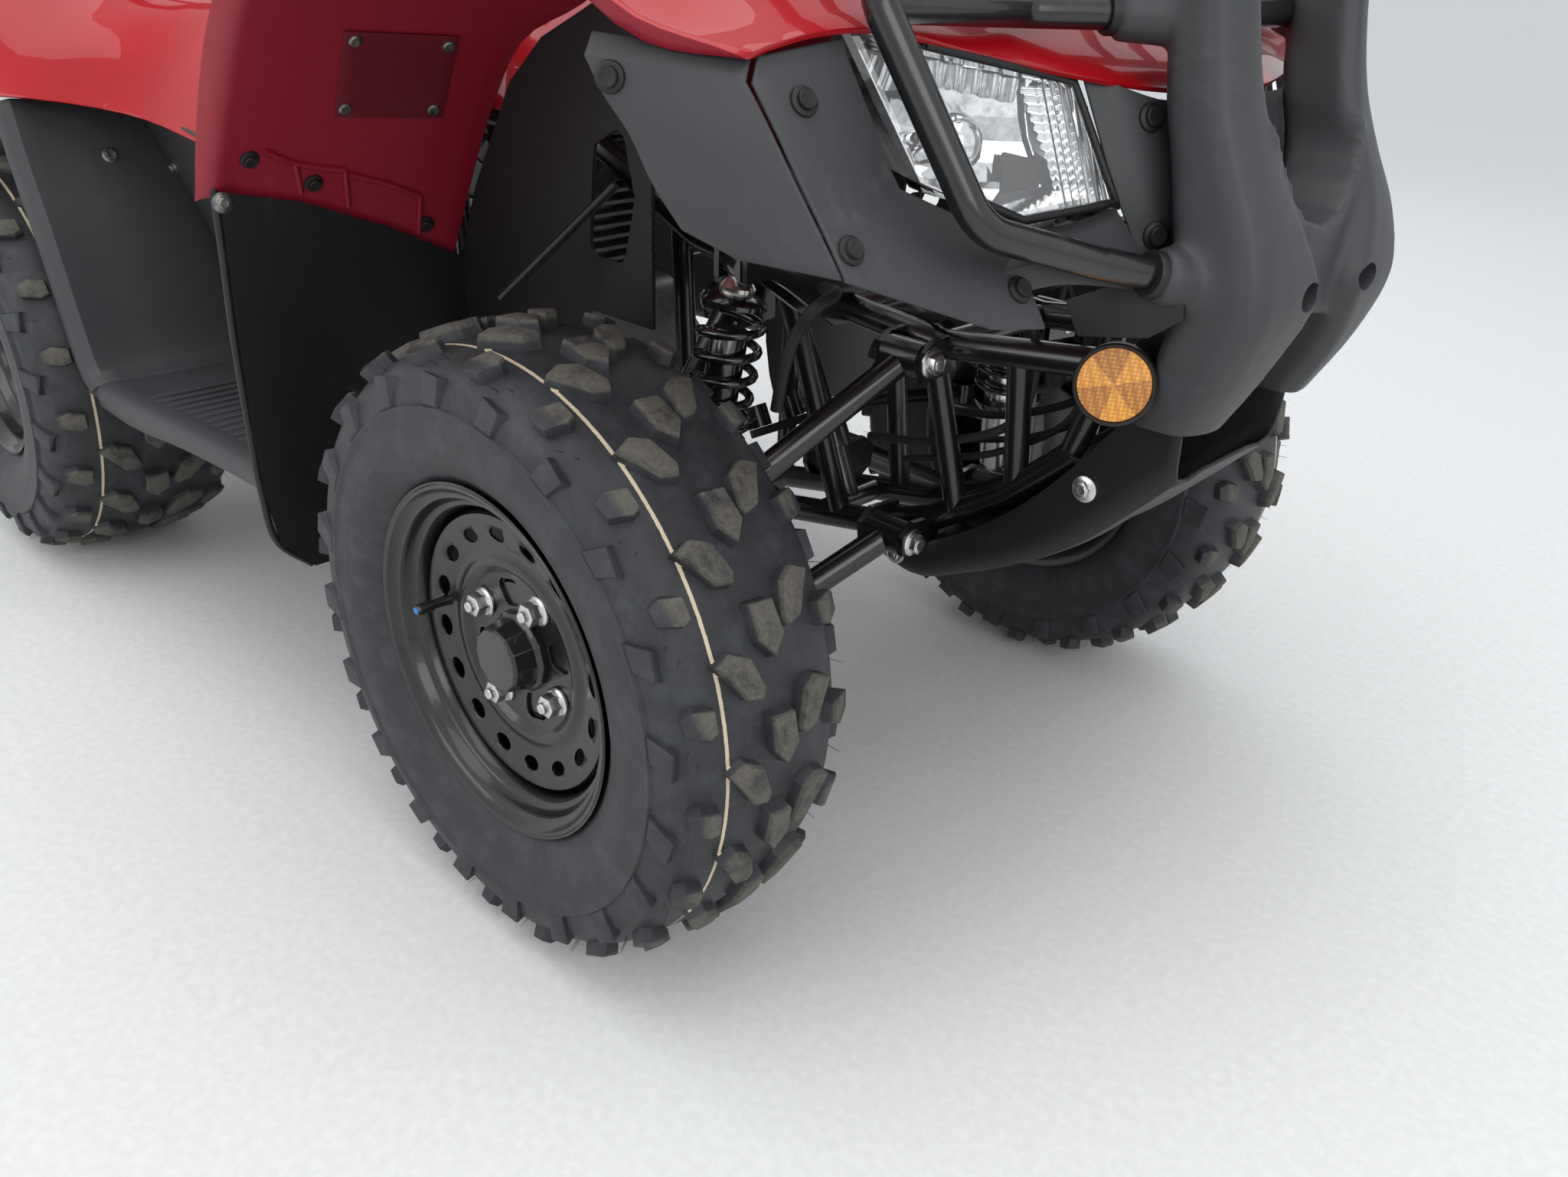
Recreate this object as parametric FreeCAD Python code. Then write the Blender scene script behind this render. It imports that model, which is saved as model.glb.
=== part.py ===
"""Sport-utility quad bike: a steel tube frame on four lugged tyres, with moulded fenders.

Frame: X forward, Y to the rider's left, Z up, origin on the ground at the middle of the bounding box.
Millimetres. Most places are given from the front axle, as ax(...), or from the rear axle, as bx(...).
"""
import FreeCAD
import Part
import math
import os
from FreeCAD import Vector

os.makedirs("parts", exist_ok=True)

# Driving dimensions
overall_length = 1903.0
wheelbase = 1131.0
front_overhang = 440.0      # front axle to the bumper's front face
front_track = 790.0
rear_track = 781.0
tyre_radius = 279.0         # out to the lugs' tips
lug_height = 13.0
front_tyre_width = 178.0
rear_tyre_width = 254.0
lug_pitches = 16
tyre_wall = 9.0

front_rim_radius = 157.0    # flange of the 11 inch rim
front_bead_radius = 140.0
rear_rim_radius = 131.0     # flange of the 9 inch rim
rear_bead_radius = 115.0
front_rim_width = 150.0
rear_rim_width = 216.0
rim_sheet = 3.0
stud_circle = 110.0
stud_count = 4
nut_radius = 9.5
nut_length = 15.0

axle_shaft = 15.8
kingpin_in = 75.0           # lower kingpin joint, in from the wheel's middle plane
kingpin_lean = 12.0
tie_ball_in = 90.0          # outer tie rod ball, in from the same plane
arm_tube = 12.0
rail_tube = 13.0
rack_tube = 12.5
slat_tube = 8.0
bumper_tube = 11.5

fender_sheet = 4.0
panel_sheet = 4.0

footwell_side = 470.0
footwell_floor = 322.0
footwell_front = -412.0     # from the front axle
footwell_inner = 262.0

column_foot = (-55.0, 385.0)          # x from the front axle, z
column_head = (-340.0, 930.0)
pitman_reach = 74.0
pitman_spread = 26.0
tie_gap = 0.3
tie_clear = 2.5             # outer eye above the knuckle's arm, so that it stays clear as both swing
shock_head = (22.0, -203.0, 578.0)
cylinder_x = -462.0
muffler_y = -188.0
frame_split = -330.0        # from the front axle: where the frame's front part ends
pivot_x = 332.0             # swing arm pivot, from the rear axle
pivot_rise = 46.0
rib_pitch = 24.0
lower_pivot_front = (113.0, -84.0, 322.0)
lower_pivot_rear = (-92.0, -84.0, 310.0)
upper_pivot_front = (137.0, -110.0, 508.0)
upper_pivot_rear = (-86.0, -110.0, 508.0)
hitch_hole = 8.0
running_gap = 4.0

grip_span = 740.0
front_rack_z = 915.0
rear_rack_z = 866.0

ground = 0.0
front_x = overall_length / 2 - front_overhang
rear_x = front_x - wheelbase
front_y = front_track / 2
rear_y = rear_track / 2
axle_z = ground + tyre_radius
tail_x = -overall_length / 2
pivot_z = axle_z + pivot_rise
# places from the front axle line, right side
kingpin_low = (0.0, kingpin_in - front_y, 185.0)
kingpin_high = (0.0, kingpin_in + kingpin_lean - front_y, 350.0)
tie_ball = (-92.0, tie_ball_in - front_y, 312.0)
shock_foot = (3.0, kingpin_low[1] + 70, 262.0)


# Shape helpers
def ax(x, y, z):
    """A point given from the front axle's line."""
    return Vector(front_x + x, y, z)


def bx(x, y, z):
    """A point given from the rear axle's line."""
    return Vector(rear_x + x, y, z)


def mirrored(shape):
    return shape.mirror(Vector(0, 0, 0), Vector(0, 1, 0))


def both(shapes):
    """The right-hand solids and their mirror images."""
    return list(shapes) + [mirrored(s) for s in shapes]


def fused(shapes):
    shapes = list(shapes)
    joined = shapes[0] if len(shapes) == 1 else shapes[0].multiFuse(shapes[1:])
    return joined.removeSplitter()


def save(name, shapes):
    shapes = shapes if isinstance(shapes, list) else [shapes]
    solids = [s for shape in shapes for s in shape.Solids]
    for solid in solids:
        if not solid.isValid() or solid.Volume <= 0:
            print("check", name, solid.isValid(), round(solid.Volume))
    Part.makeCompound(solids).exportStep("parts/" + name + ".step")


def rod(start, end, radius):
    return Part.makeCylinder(radius, (end - start).Length, start, end - start)


def pipe(start, end, outer, inner):
    return rod(start, end, outer).cut(rod(start, end, inner))


def laid(shape, foot, axis):
    """A shape built up along Z from the origin, moved to a foot and turned along an axis."""
    shape = shape.copy()
    shape.Placement = FreeCAD.Placement(foot, FreeCAD.Rotation(Vector(0, 0, 1), axis))
    return shape


def block(low, high):
    size = high - low
    return Part.makeBox(size.x, size.y, size.z, low)


def rounded_edges(points, radius, closed=False):
    """Straight runs joined by tangent arcs through a list of corner points."""
    count = len(points)
    corners = range(count) if closed else range(1, count - 1)
    cuts = {}
    for i in corners:
        corner = points[i]
        back = points[i - 1] - corner
        ahead = points[(i + 1) % count] - corner
        room = 0.46 * min(back.Length, ahead.Length)
        back.normalize()
        ahead.normalize()
        half_turn = (math.pi - back.getAngle(ahead)) / 2
        if half_turn < 0.01:
            continue
        reach = min(radius * math.tan(half_turn), room)
        bend = reach / math.tan(half_turn)
        middle = back + ahead
        middle.normalize()
        depth = bend / math.cos(half_turn) - bend
        cuts[i] = (corner + back * reach, corner + middle * depth, corner + ahead * reach)
    edges = []
    here = cuts[0][2] if closed and 0 in cuts else points[0]
    order = list(range(1, count)) + ([0] if closed else [])
    for i in order:
        enter = cuts[i][0] if i in cuts else points[i]
        if (enter - here).Length > 1e-6:
            edges.append(Part.LineSegment(here, enter).toShape())
        here = enter
        if i in cuts:
            edges.append(Part.Arc(*cuts[i]).toShape())
            here = cuts[i][2]
    return edges


def tube(points, radius, bend=60.0):
    """A round bar along straight runs and tangent bends."""
    path = Part.Wire(rounded_edges(points, bend))
    ring = Part.Wire(Part.makeCircle(radius, points[0], points[1] - points[0]))
    return path.makePipeShell([ring], True, False)


def prism(points, sweep, corner=0.0):
    """A flat outline swept along a vector, its corners rounded."""
    if corner > 0:
        wire = Part.Wire(rounded_edges(points, corner, closed=True))
    else:
        wire = Part.makePolygon(points + [points[0]])
    return Part.Face(wire).extrude(sweep)


def side_prism(outline, y0, y1, corner=0.0):
    """An outline of (x from the front axle, z) between two y planes."""
    return prism([ax(x, y0, z) for x, z in outline], Vector(0, y1 - y0, 0), corner)


def rear_prism(outline, y0, y1, corner=0.0):
    """An outline of (x from the rear axle, z) between two y planes."""
    return prism([bx(x, y0, z) for x, z in outline], Vector(0, y1 - y0, 0), corner)


def outward(solid):
    return solid if solid.Volume > 0 else solid.reversed()


def closed(points):
    return Part.makePolygon(points + [points[0]])


def loft(wires, ruled=True):
    return outward(Part.makeLoft(wires, True, ruled))


def sheet(grid, thick, flip=False):
    """A moulded shell over a grid of points, rows by columns, thickened inwards; None leaves a gap."""
    rows, columns = len(grid), len(grid[0])
    cells = [(i, j) for i in range(rows - 1) for j in range(columns - 1)
             if all(grid[m][n] is not None for m in (i, i + 1) for n in (j, j + 1))]
    normals = {}
    edges = {}
    for i, j in cells:
        corners = [(i, j), (i, j + 1), (i + 1, j + 1), (i + 1, j)]
        a, b, c, d = [grid[m][n] for m, n in corners]
        normal = (c - a).cross(d - b)
        if normal.Length > 1e-9:
            normal.normalize()
        for k, corner in enumerate(corners):
            normals[corner] = normals.get(corner, Vector()) + normal
            edge = (corner, corners[(k + 1) % 4])
            if edge[::-1] in edges:
                del edges[edge[::-1]]
            else:
                edges[edge] = True
    sign = -1.0 if flip else 1.0
    back = {}
    for key, normal in normals.items():
        normal.normalize()
        back[key] = grid[key[0]][key[1]] + normal * (sign * thick)
    faces = []

    def patch(*corners):
        for triangle in (corners[:3], (corners[0], corners[2], corners[3])):
            if min((triangle[i] - triangle[i - 1]).Length for i in range(3)) > 1e-6:
                faces.append(Part.Face(closed(list(triangle))))

    for i, j in cells:
        keys = [(i, j), (i, j + 1), (i + 1, j + 1), (i + 1, j)]
        patch(*[grid[m][n] for m, n in keys])
        patch(*[back[key] for key in reversed(keys)])
    for a, b in edges:
        patch(grid[a[0]][a[1]], back[a], back[b], grid[b[0]][b[1]])
    shell = Part.makeShell(faces)
    shell.sewShape()
    return outward(Part.makeSolid(shell)).removeSplitter()


def turned(profile, x, y, z):
    """A closed outline of (radius, y) turned about a Y axis."""
    points = [Vector(x + r, y + across, z) for r, across in profile]
    face = Part.Face(Part.makePolygon(points + [points[0]]))
    return face.revolve(Vector(x, y, z), Vector(0, 1, 0), 360)


# Tyres and wheels
def tyre_profile(radius, width, bead, rim_width):
    """Half outline of the carcass as (radius, y), from the tread's edge to the bead in its rim."""
    half = width / 2
    seat_y = rim_width / 2 - 9.6
    return [
        (radius - lug_height, 0.55 * half),
        (bead + 1 + 3.1 * (half - seat_y), half),
        (bead + 1, seat_y),
    ]


def tyre(radius, width, bead, rim_width):
    """A hollow carcass of flat facets with its lugs fused on, about the Y axis; one lug's tip is straight below."""
    outer = tyre_profile(radius, width, bead, rim_width)
    (tread, y0), (wall, half), (seat, seat_y) = outer
    inner = [(tread - tyre_wall - 6, y0 - 4), (wall, half - tyre_wall), (seat - 6, seat_y - tyre_wall)]
    full = [(r, -y) for r, y in reversed(outer)] + outer
    hollow = [(r, -y) for r, y in reversed(inner)] + inner
    through = ring_solid([(seat, -half), (seat, half)], 2 * lug_pitches, 8.0)
    body = ring_solid(full, 2 * lug_pitches, 8.0).cut(ring_solid(hollow, 8, 8.0)).cut(through)
    pitch = 360.0 / lug_pitches
    # columns: end as a share of the half width, the tip's drop there, from and to along the tread
    ends = ((0.06, 0.0, 0.0, 27.0), (0.98, -16.0, -2.0, 27.0))
    made = []
    for side, shift in ((1, 0.0), (-1, 0.5)):
        rings = []
        for share, drop, first, last in ends:
            y, tip = side * share * width / 2, radius + drop
            a, b = [Vector(x, y, -math.sqrt(tip * tip - x * x)) for x in (first, last)]
            rings.append([a, b, b + Vector(3, 0, lug_height + 8), a + Vector(-3, 0, lug_height + 8)])
        lug = skin(rings)
        for i in range(lug_pitches):
            made.append(lug.copy())
            made[-1].rotate(Vector(0, 0, 0), Vector(0, 1, 0), (i + shift) * pitch)
    body = body.multiFuse(made).removeSplitter()
    return max(body.Solids, key=lambda s: s.Volume)


def rim(flange, bead, width, disc_y, bore):
    """A pressed steel rim and disc about the Y axis; the disc is at disc_y towards the outside (-Y)."""
    half = width / 2
    t = rim_sheet
    # columns: radius, y of the barrel's outer face, from the inner flange to the outer one
    barrel = [(flange, half), (flange, half - 4), (bead, half - 9), (bead - 4, half - 30), (bead - 22, half - 46),
              (bead - 22, -half + 52), (bead - 4, -half + 34), (bead, -half + 9), (flange, -half + 4), (flange, -half)]
    inner = [(r - t, y) for r, y in barrel]
    inner[1] = (flange - t, half - 2)
    inner[-2] = (flange - t, -half + 2)
    shell = turned(barrel + list(reversed(inner)), 0, 0, 0)
    seat = bead - 22
    rise = 16.0
    disc = turned([(seat - 1, disc_y + rise), (seat - 1, disc_y + rise + t), (seat - 14, disc_y + t),
                   (bore, disc_y + t), (bore, disc_y), (seat - 15, disc_y), (seat - 3, disc_y + rise - 10)], 0, 0, 0)
    holes = []
    for i in range(12):
        hole = rod(Vector(0, disc_y - 9, seat - 24), Vector(0, disc_y + 30, seat - 24), 6)
        hole.rotate(Vector(0, 0, 0), Vector(0, 1, 0), i * 30 + 15)
        holes.append(hole)
    for i in range(stud_count):
        ring = stud_circle / 2
        window = prism([Vector(-9, disc_y - 9, ring - 16), Vector(9, disc_y - 9, ring - 16),
                        Vector(14, disc_y - 9, ring + 7), Vector(-14, disc_y - 9, ring + 7)],
                       Vector(0, 40, 0), 5)
        window.rotate(Vector(0, 0, 0), Vector(0, 1, 0), i * 90)
        holes.append(window)
    return fused([shell, disc]).cut(Part.makeCompound(holes))


def hub_parts(disc_y, drum_radius, drum_back, cap_radius, cap_end, bore):
    """Hub flange, drum, dust cap and lug nuts about the Y axis, with a bore for the spindle."""
    flange_y = disc_y + rim_sheet
    body = turned([(bore, flange_y), (60, flange_y), (60, flange_y + 8), (drum_radius - 6, flange_y + 14),
                   (drum_radius, flange_y + 20), (drum_radius, drum_back), (drum_radius - 5, drum_back),
                   (drum_radius - 5, flange_y + 22), (40, flange_y + 20), (32, drum_back - 10), (bore, drum_back - 10)],
                  0, 0, 0)
    cap = turned([(0, flange_y), (34, flange_y), (34, disc_y - 8), (31, disc_y - 14), (27, cap_end), (0, cap_end)],
                 0, 0, 0)
    pieces = [body, cap]
    for i in range(stud_count):
        angle = math.radians(i * 90 + 45)
        px, pz = stud_circle / 2 * math.cos(angle), stud_circle / 2 * math.sin(angle)
        corners = [Vector(px + nut_radius * math.cos(math.radians(60 * k)), flange_y,
                          pz + nut_radius * math.sin(math.radians(60 * k))) for k in range(6)]
        pieces.append(prism(corners, Vector(0, -nut_length - rim_sheet, 0)))
    return pieces


def front_wheel():
    disc_y = -22.0
    rubber = tyre(tyre_radius, front_tyre_width, front_bead_radius, front_rim_width)
    steel = rim(front_rim_radius, front_bead_radius, front_rim_width, disc_y, 30.0)
    valve = rod(Vector(-102, disc_y + 4, 18), Vector(-98, disc_y - 42, 18), 4.5)
    stem = prism([Vector(-114, disc_y + 2, 10), Vector(-92, disc_y + 2, 10), Vector(-92, disc_y + 2, 26),
                  Vector(-114, disc_y + 2, 26)], Vector(0, 6, 0))
    steel = fused([steel] + hub_parts(disc_y, 82.0, 44.0, 34.0, disc_y - 46, 12.3) + [stem, valve])
    return rubber, steel


def rear_wheel():
    disc_y = -26.0
    rubber = tyre(tyre_radius, rear_tyre_width, rear_bead_radius, rear_rim_width)
    steel = rim(rear_rim_radius, rear_bead_radius, rear_rim_width, disc_y, 22.0)
    hub = turned([(16.0, disc_y + rim_sheet), (62, disc_y + rim_sheet), (62, disc_y + 12), (34, disc_y + 20),
                  (30, disc_y + 74), (16.0, disc_y + 74)], 0, 0, 0)
    nuts = []
    for i in range(stud_count):
        angle = math.radians(i * 90 + 45)
        centre = Vector(stud_circle / 2 * math.cos(angle), disc_y + 4, stud_circle / 2 * math.sin(angle))
        nuts.append(rod(centre, centre + Vector(0, -nut_length - 4, 0), nut_radius))
    return rubber, fused([steel, hub] + nuts)


def placed(shape, x, y, z, left=False):
    shape = mirrored(shape) if left else shape.copy()
    shape.translate(Vector(x, y, z))
    return shape


def make_wheels():
    rubber, steel = front_wheel()
    for name, y, left in (("right", -front_y, False), ("left", front_y, True)):
        save("tyre_front_" + name, placed(rubber, front_x, y, axle_z, left))
        save("rim_front_" + name, placed(steel, front_x, y, axle_z, left))
    rubber, steel = rear_wheel()
    save("rear_tyres", [placed(rubber, rear_x, -rear_y, axle_z), placed(rubber, rear_x, rear_y, axle_z, True)])
    save("rear_rims", [placed(steel, rear_x, -rear_y, axle_z), placed(steel, rear_x, rear_y, axle_z, True)])
    shaft_end = rear_y + 34
    shaft = rod(Vector(rear_x, -shaft_end, axle_z), Vector(rear_x, shaft_end, axle_z), axle_shaft)
    drum = rod(Vector(rear_x, -214, axle_z), Vector(rear_x, -172, axle_z), 84)
    save("rear_axle", fused([shaft, drum]))


# Front suspension and steering
def knuckle():
    low, high = ax(*kingpin_low), ax(*kingpin_high)
    along = high - low
    along.normalize()
    spindle_in = ax(0, kingpin_low[1] + 12, axle_z)
    spindle_out = ax(0, -front_y - 14, axle_z)
    post = side_prism([(-20, 200), (20, 200), (22, 262), (22, 300), (16, 336), (-16, 336), (-22, 300), (-22, 262)],
                      kingpin_high[1] - 14, kingpin_high[1] + 6)
    plate = rod(ax(0, -front_y + 58, axle_z), ax(0, -front_y + 52, axle_z), 80)
    spindle = rod(spindle_in, spindle_out, 12)
    bosses = [rod(low + along * 6, low + along * 30, 15), rod(high - along * 30, high - along * 8, 15)]
    ball_x, ball_y, ball_z = tie_ball
    arm = prism([ax(-14, ball_y - 19, ball_z - 8), ax(-14, ball_y + 5, ball_z - 8),
                 ax(ball_x - 12, ball_y + 12, ball_z - 8), ax(ball_x - 12, ball_y - 12, ball_z - 8)],
                Vector(0, 0, 10), 5)
    return fused([post, plate, spindle, arm] + bosses)


def upper_arm():
    """A welded A-arm: an eye at each frame pivot, and a ball joint over the knuckle."""
    joint = ax(*kingpin_high)
    front, rear = ax(*upper_pivot_front), ax(*upper_pivot_rear)
    bend_y = kingpin_high[1] + 56
    legs = [tube([joint + Vector(10, 12, 14), ax(70, bend_y, 396), front], arm_tube, 40),
            tube([joint + Vector(-10, 12, 14), ax(-40, bend_y, 396), rear], arm_tube, 40)]
    eyes = [rod(p - Vector(20, 0, 0), p + Vector(20, 0, 0), 16) for p in (front, rear)]
    return fused(legs + [rod(joint - Vector(0, 0, 5), joint + Vector(0, 0, 20), 21)] + eyes)


def lower_arm():
    joint = ax(*kingpin_low)
    front, rear = ax(*lower_pivot_front), ax(*lower_pivot_rear)
    bend_y = kingpin_low[1] + 88
    legs = [tube([joint + Vector(6, 14, -13), ax(46, bend_y, 232), front], arm_tube + 1.5, 40),
            tube([joint + Vector(-6, 14, -13), ax(-40, bend_y, 232), rear], arm_tube + 1.5, 40)]
    eyes = [rod(p - Vector(22, 0, 0), p + Vector(22, 0, 0), 17) for p in (front, rear)]
    return fused(legs + [rod(joint - Vector(0, 0, 18), joint + Vector(0, 0, 3), 22),
                         rod(ax(-32, shock_foot[1], 224), ax(38, shock_foot[1], 224), 11)] + eyes)


def shock(foot, head, radius, turns):
    """A coil-over damper: eye, body, spring seat, coils and top cup, turned about its own axis."""
    axis = head - foot
    length = axis.Length
    coils_from, coils_to = 0.34 * length, 0.92 * length
    pitch = (coils_to - coils_from) / turns
    outline = [(0, 0.03 * length), (0.60 * radius, 0.05 * length), (0.60 * radius, 0.30 * length),
               (1.04 * radius, 0.31 * length), (1.04 * radius, coils_from)]
    for i in range(turns):
        low = coils_from + i * pitch
        outline += [(0.76 * radius, low + 0.12 * pitch), (radius, low + 0.34 * pitch), (radius, low + 0.66 * pitch),
                    (0.76 * radius, low + 0.88 * pitch)]
    outline += [(1.06 * radius, coils_to), (1.06 * radius, coils_to + 0.02 * length), (0.40 * radius, 0.955 * length),
                (0.40 * radius, length), (0, length)]
    points = [Vector(r, 0, z) for r, z in outline]
    body = Part.Face(closed(points)).revolve(Vector(0, 0, 0), Vector(0, 0, 1), 360)
    body = laid(body, foot, axis)
    side = Vector(0, 1, 0) if abs(axis.y) < 0.1 * length else Vector(1, 0, 0)
    eyes = [rod(p - side * 14, p + side * 14, 13) for p in (foot, head)]
    return fused([body] + eyes)


def make_front_suspension():
    save("upper_arms", both([upper_arm()]))
    save("lower_arms", both([lower_arm()]))
    save("front_shocks", both([shock(ax(*shock_foot), ax(*shock_head), 29.0, 9)]))
    right = knuckle()
    save("knuckle_right", right)
    save("knuckle_left", mirrored(right))


def column_axis():
    foot = ax(column_foot[0], 0, column_foot[1])
    head = ax(column_head[0], 0, column_head[1])
    return foot, head


def column_at(z):
    foot, head = column_axis()
    return foot + (head - foot) * ((z - foot.z) / (head.z - foot.z))


def pitman_end(side):
    foot, head = column_axis()
    up = head - foot
    up.normalize()
    back = Vector(-up.z, 0, up.x)
    return foot + back * pitman_reach + Vector(0, side * pitman_spread, 0)


def tie_rod(side):
    """An end eye along the column's direction on the pitman plate, and one above the knuckle's arm."""
    foot, head = column_axis()
    up = head - foot
    up.normalize()
    inner = pitman_end(side) + up * (tie_gap + 12)
    ball_x, ball_y, ball_z = tie_ball
    outer = ax(ball_x, -side * ball_y, ball_z + 2 + tie_clear + 12)
    flat = Vector(0, 0, 1)
    return fused([rod(inner, outer, 8), rod(inner - up * 12, inner + up * 12, 13),
                  rod(outer - flat * 12, outer + flat * 12, 13)])


def make_steering():
    foot, head = column_axis()
    up = head - foot
    up.normalize()
    back = Vector(-up.z, 0, up.x)
    shaft = rod(foot - up * 14, head, 12)
    ends = [pitman_end(s) for s in (-1, 1)]
    wide = Vector(0, 16, 0)
    plate = prism([foot + back * -14 - wide, ends[0] - wide * 0.7 + back * 13, ends[1] + wide * 0.7 + back * 13,
                   foot + back * -14 + wide], up * -9, 6)
    clamp = prism([head - back * 24 - Vector(0, 62, 0), head + back * 24 - Vector(0, 62, 0),
                   head + back * 24 + Vector(0, 62, 0), head - back * 24 + Vector(0, 62, 0)], up * 20, 10)
    save("steering_shaft", fused([shaft, plate, clamp]))

    right = steering_path()
    centre = right[0]
    save("handlebar", fused([tube(right, 11, 50), mirrored(tube(right, 11, 50))]
                            + [rod(centre + Vector(0, y - 14, 0), centre + Vector(0, y + 14, 0), 19)
                               for y in (-46, 46)]))
    end = right[3]
    along = end - right[2]
    along.normalize()
    grip = pipe(end - along * 118, end + along * 0.3, 16.5, 11.3)
    save("grips", both([fused([grip, rod(end + along * 0.3, end + along * 8, 15)])]))

    perch = end - along * 148
    ring = pipe(perch - along * 20, perch + along * 20, 19, 11.3)
    root = perch + Vector(42, 3, 3)
    arm = rod(perch + Vector(15, 0, 0), root, 7)
    tip = root + along * 150 + Vector(20, 0, 2)
    lever = tube([root - along * 8, root + along * 40 + Vector(16, 0, 0), tip], 5.5, 30)
    knob = tip - (root + along * 40 + Vector(16, 0, 0))
    knob.normalize()
    save("levers", both([fused([ring, arm, lever, rod(tip - knob * 6, tip + knob * 6, 8)])]))

    pod_z = centre.z + 19.3
    sections = []
    # columns: x from the bar's middle, half width, base z, height
    for x, half_width, base, height in ((-52, 62, pod_z, 30), (0, 80, pod_z, 48), (58, 66, pod_z, 38),
                                        (92, 44, pod_z, 16)):
        cx = centre.x + x
        sections.append(closed([Vector(cx, -half_width, base), Vector(cx, -half_width * 0.8, base + height),
                                Vector(cx, half_width * 0.8, base + height), Vector(cx, half_width, base)]))
    save("dash_pod", loft(sections))
    for name, side in (("right", -1), ("left", 1)):
        save("tie_rod_" + name, tie_rod(side))


# Frame
def ears(x, gap, thick, outline):
    """Two plates astride an eye, across X: outline is (y, z) on the right-hand side."""
    return [prism([ax(x0, y, z) for y, z in outline], Vector(thick, 0, 0)) for x0 in (x - gap - thick, x + gap)]


def make_frame():
    r = rail_tube
    slim = r - 2
    lower = tube([ax(-330, -95, 222), ax(-280, -95, 222), ax(-60, -48, 284), ax(70, -48, 309), ax(135, -48, 335),
                  ax(215, -50, 385), ax(290, -62, 452)], r, 40)
    upper = tube([ax(-330, -112, 640), ax(-295, -112, 640), ax(-160, -84, 556), ax(60, -78, 524), ax(150, -78, 516),
                  ax(330, -78, 538)], r, 50)
    nose = rod(ax(282, -61, 446), ax(318, -78, 536), slim)
    legs = [rod(ax(165, -50, 350), ax(139, -78, 516), slim), rod(ax(226, -51, 392), ax(231, -78, 525), slim),
            rod(ax(-176, -74, 252), ax(-182, -88, 566), slim), rod(ax(20, -48, 300), ax(-40, -80, 538), slim)]
    brackets = ears(lower_pivot_front[0], 22.3, 6, [(-98, 311), (-100, 330), (-84, 342), (-44, 338), (-44, 311)])
    brackets += ears(lower_pivot_rear[0], 22.3, 6, [(-98, 294), (-100, 318), (-84, 330), (-44, 326), (-44, 292),
                                                   (-58, 266)])
    brackets += ears(upper_pivot_front[0], 20.3, 6, [(-120, 490), (-120, 518), (-110, 526), (-74, 528), (-74, 494)])
    brackets += ears(upper_pivot_rear[0], 20.3, 6, [(-120, 490), (-120, 518), (-106, 543), (-74, 550), (-74, 494)])
    brackets += ears(shock_head[0], 14.3, 6, [(-216, 592), (-216, 567), (-185, 567), (-165, 556), (-100, 512),
                                              (-74, 512), (-74, 566), (-150, 592)])
    # columns: x from the front axle, half width, z
    ties = ((-10, 50, 294), (150, 78, 516), (-181, 88, 545), (226, 52, 392), (318, 78, 536), (40, 78, 524))
    cross = [rod(ax(x, -y, z), ax(x, y, z), slim) for x, y, z in ties]
    foot, head = column_axis()
    up = head - foot
    up.normalize()
    seat = foot - up * 14.3
    bearing = [rod(seat - up * 30, seat, 19), rod(seat - up * 30, ax(-12, 0, 296), 12)]
    collar = column_at(652)
    hold = [rod(collar - up * 14, collar + up * 14, 22)]
    hold += [rod(collar + Vector(-16, y0, 0), ax(-302, y1, 640), 9) for y0, y1 in ((-8, -112), (8, 112))]
    hold = fused(hold).cut(rod(foot, head, 12.3))
    save("frame_front", fused(both([lower, upper, nose] + legs + brackets) + cross + bearing + [hold]))

    # the two halves behind it start a hair's breadth off, and end at places given from the rear axle
    start = frame_split - 0.3
    cradle = tube([ax(start, -95, 222), ax(-400, -95, 222), bx(pivot_x - 1, -95, 237), bx(265, -108, 262),
                   bx(247, -112, 330), bx(226, -112, 640.8)], r, 50)
    ear = prism([bx(pivot_x - 30, -80.3, 240), bx(pivot_x + 30, -80.3, 240), bx(pivot_x + 24, -80.3, pivot_z + 16),
                 bx(pivot_x - 24, -80.3, pivot_z + 16)], Vector(0, -7, 0))
    middle = (ax(-400, 0, 0) + bx(pivot_x, 0, 0)) * 0.5
    ties = [(ax(-345, 0, 222), 95), (middle + Vector(0, 0, 231.0), 95), (bx(263, 0, 262), 108)]
    bars = [rod(place - Vector(0, half, 0), place + Vector(0, half, 0), slim) for place, half in ties]
    save("frame_cradle", fused(both([cradle, ear]) + bars))

    top = tube([ax(start, -112, 640), ax(-360, -112, 640), bx(226, -112, 655.2), bx(121, -112, 672),
                bx(-279, -112, 690)], r, 80)
    stay = rod(bx(197, -112, 560), bx(-49, -112, 678), slim)
    gusset = rear_prism([(217.4, 560), (214.7, 600), (179, 590), (179, 548)], -118, -106)
    shock_ears = [rear_prism([(258, 668), (284, 668), (282, 630), (262, 634)], y0, y1)
                  for y0, y1 in ((-67, -60.3), (-31.7, -25))]
    tabs = [rod(bx(x, -112, z - low), bx(x, -112, z), 9)
            for x, z, low in ((420, 735.6, 80), (60, 745.3, 66), (-200, 749.4, 60))]
    ties = [ax(-345, 0, 640), bx(431, 0, 649.5), bx(270, 0, 664), bx(81, 0, 674), bx(-269, 0, 689)]
    bars = [rod(place - Vector(0, 112, 0), place + Vector(0, 112, 0), slim) for place in ties]
    save("frame_rear", fused(both([top, stay, gusset] + tabs) + bars + shock_ears))


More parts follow.
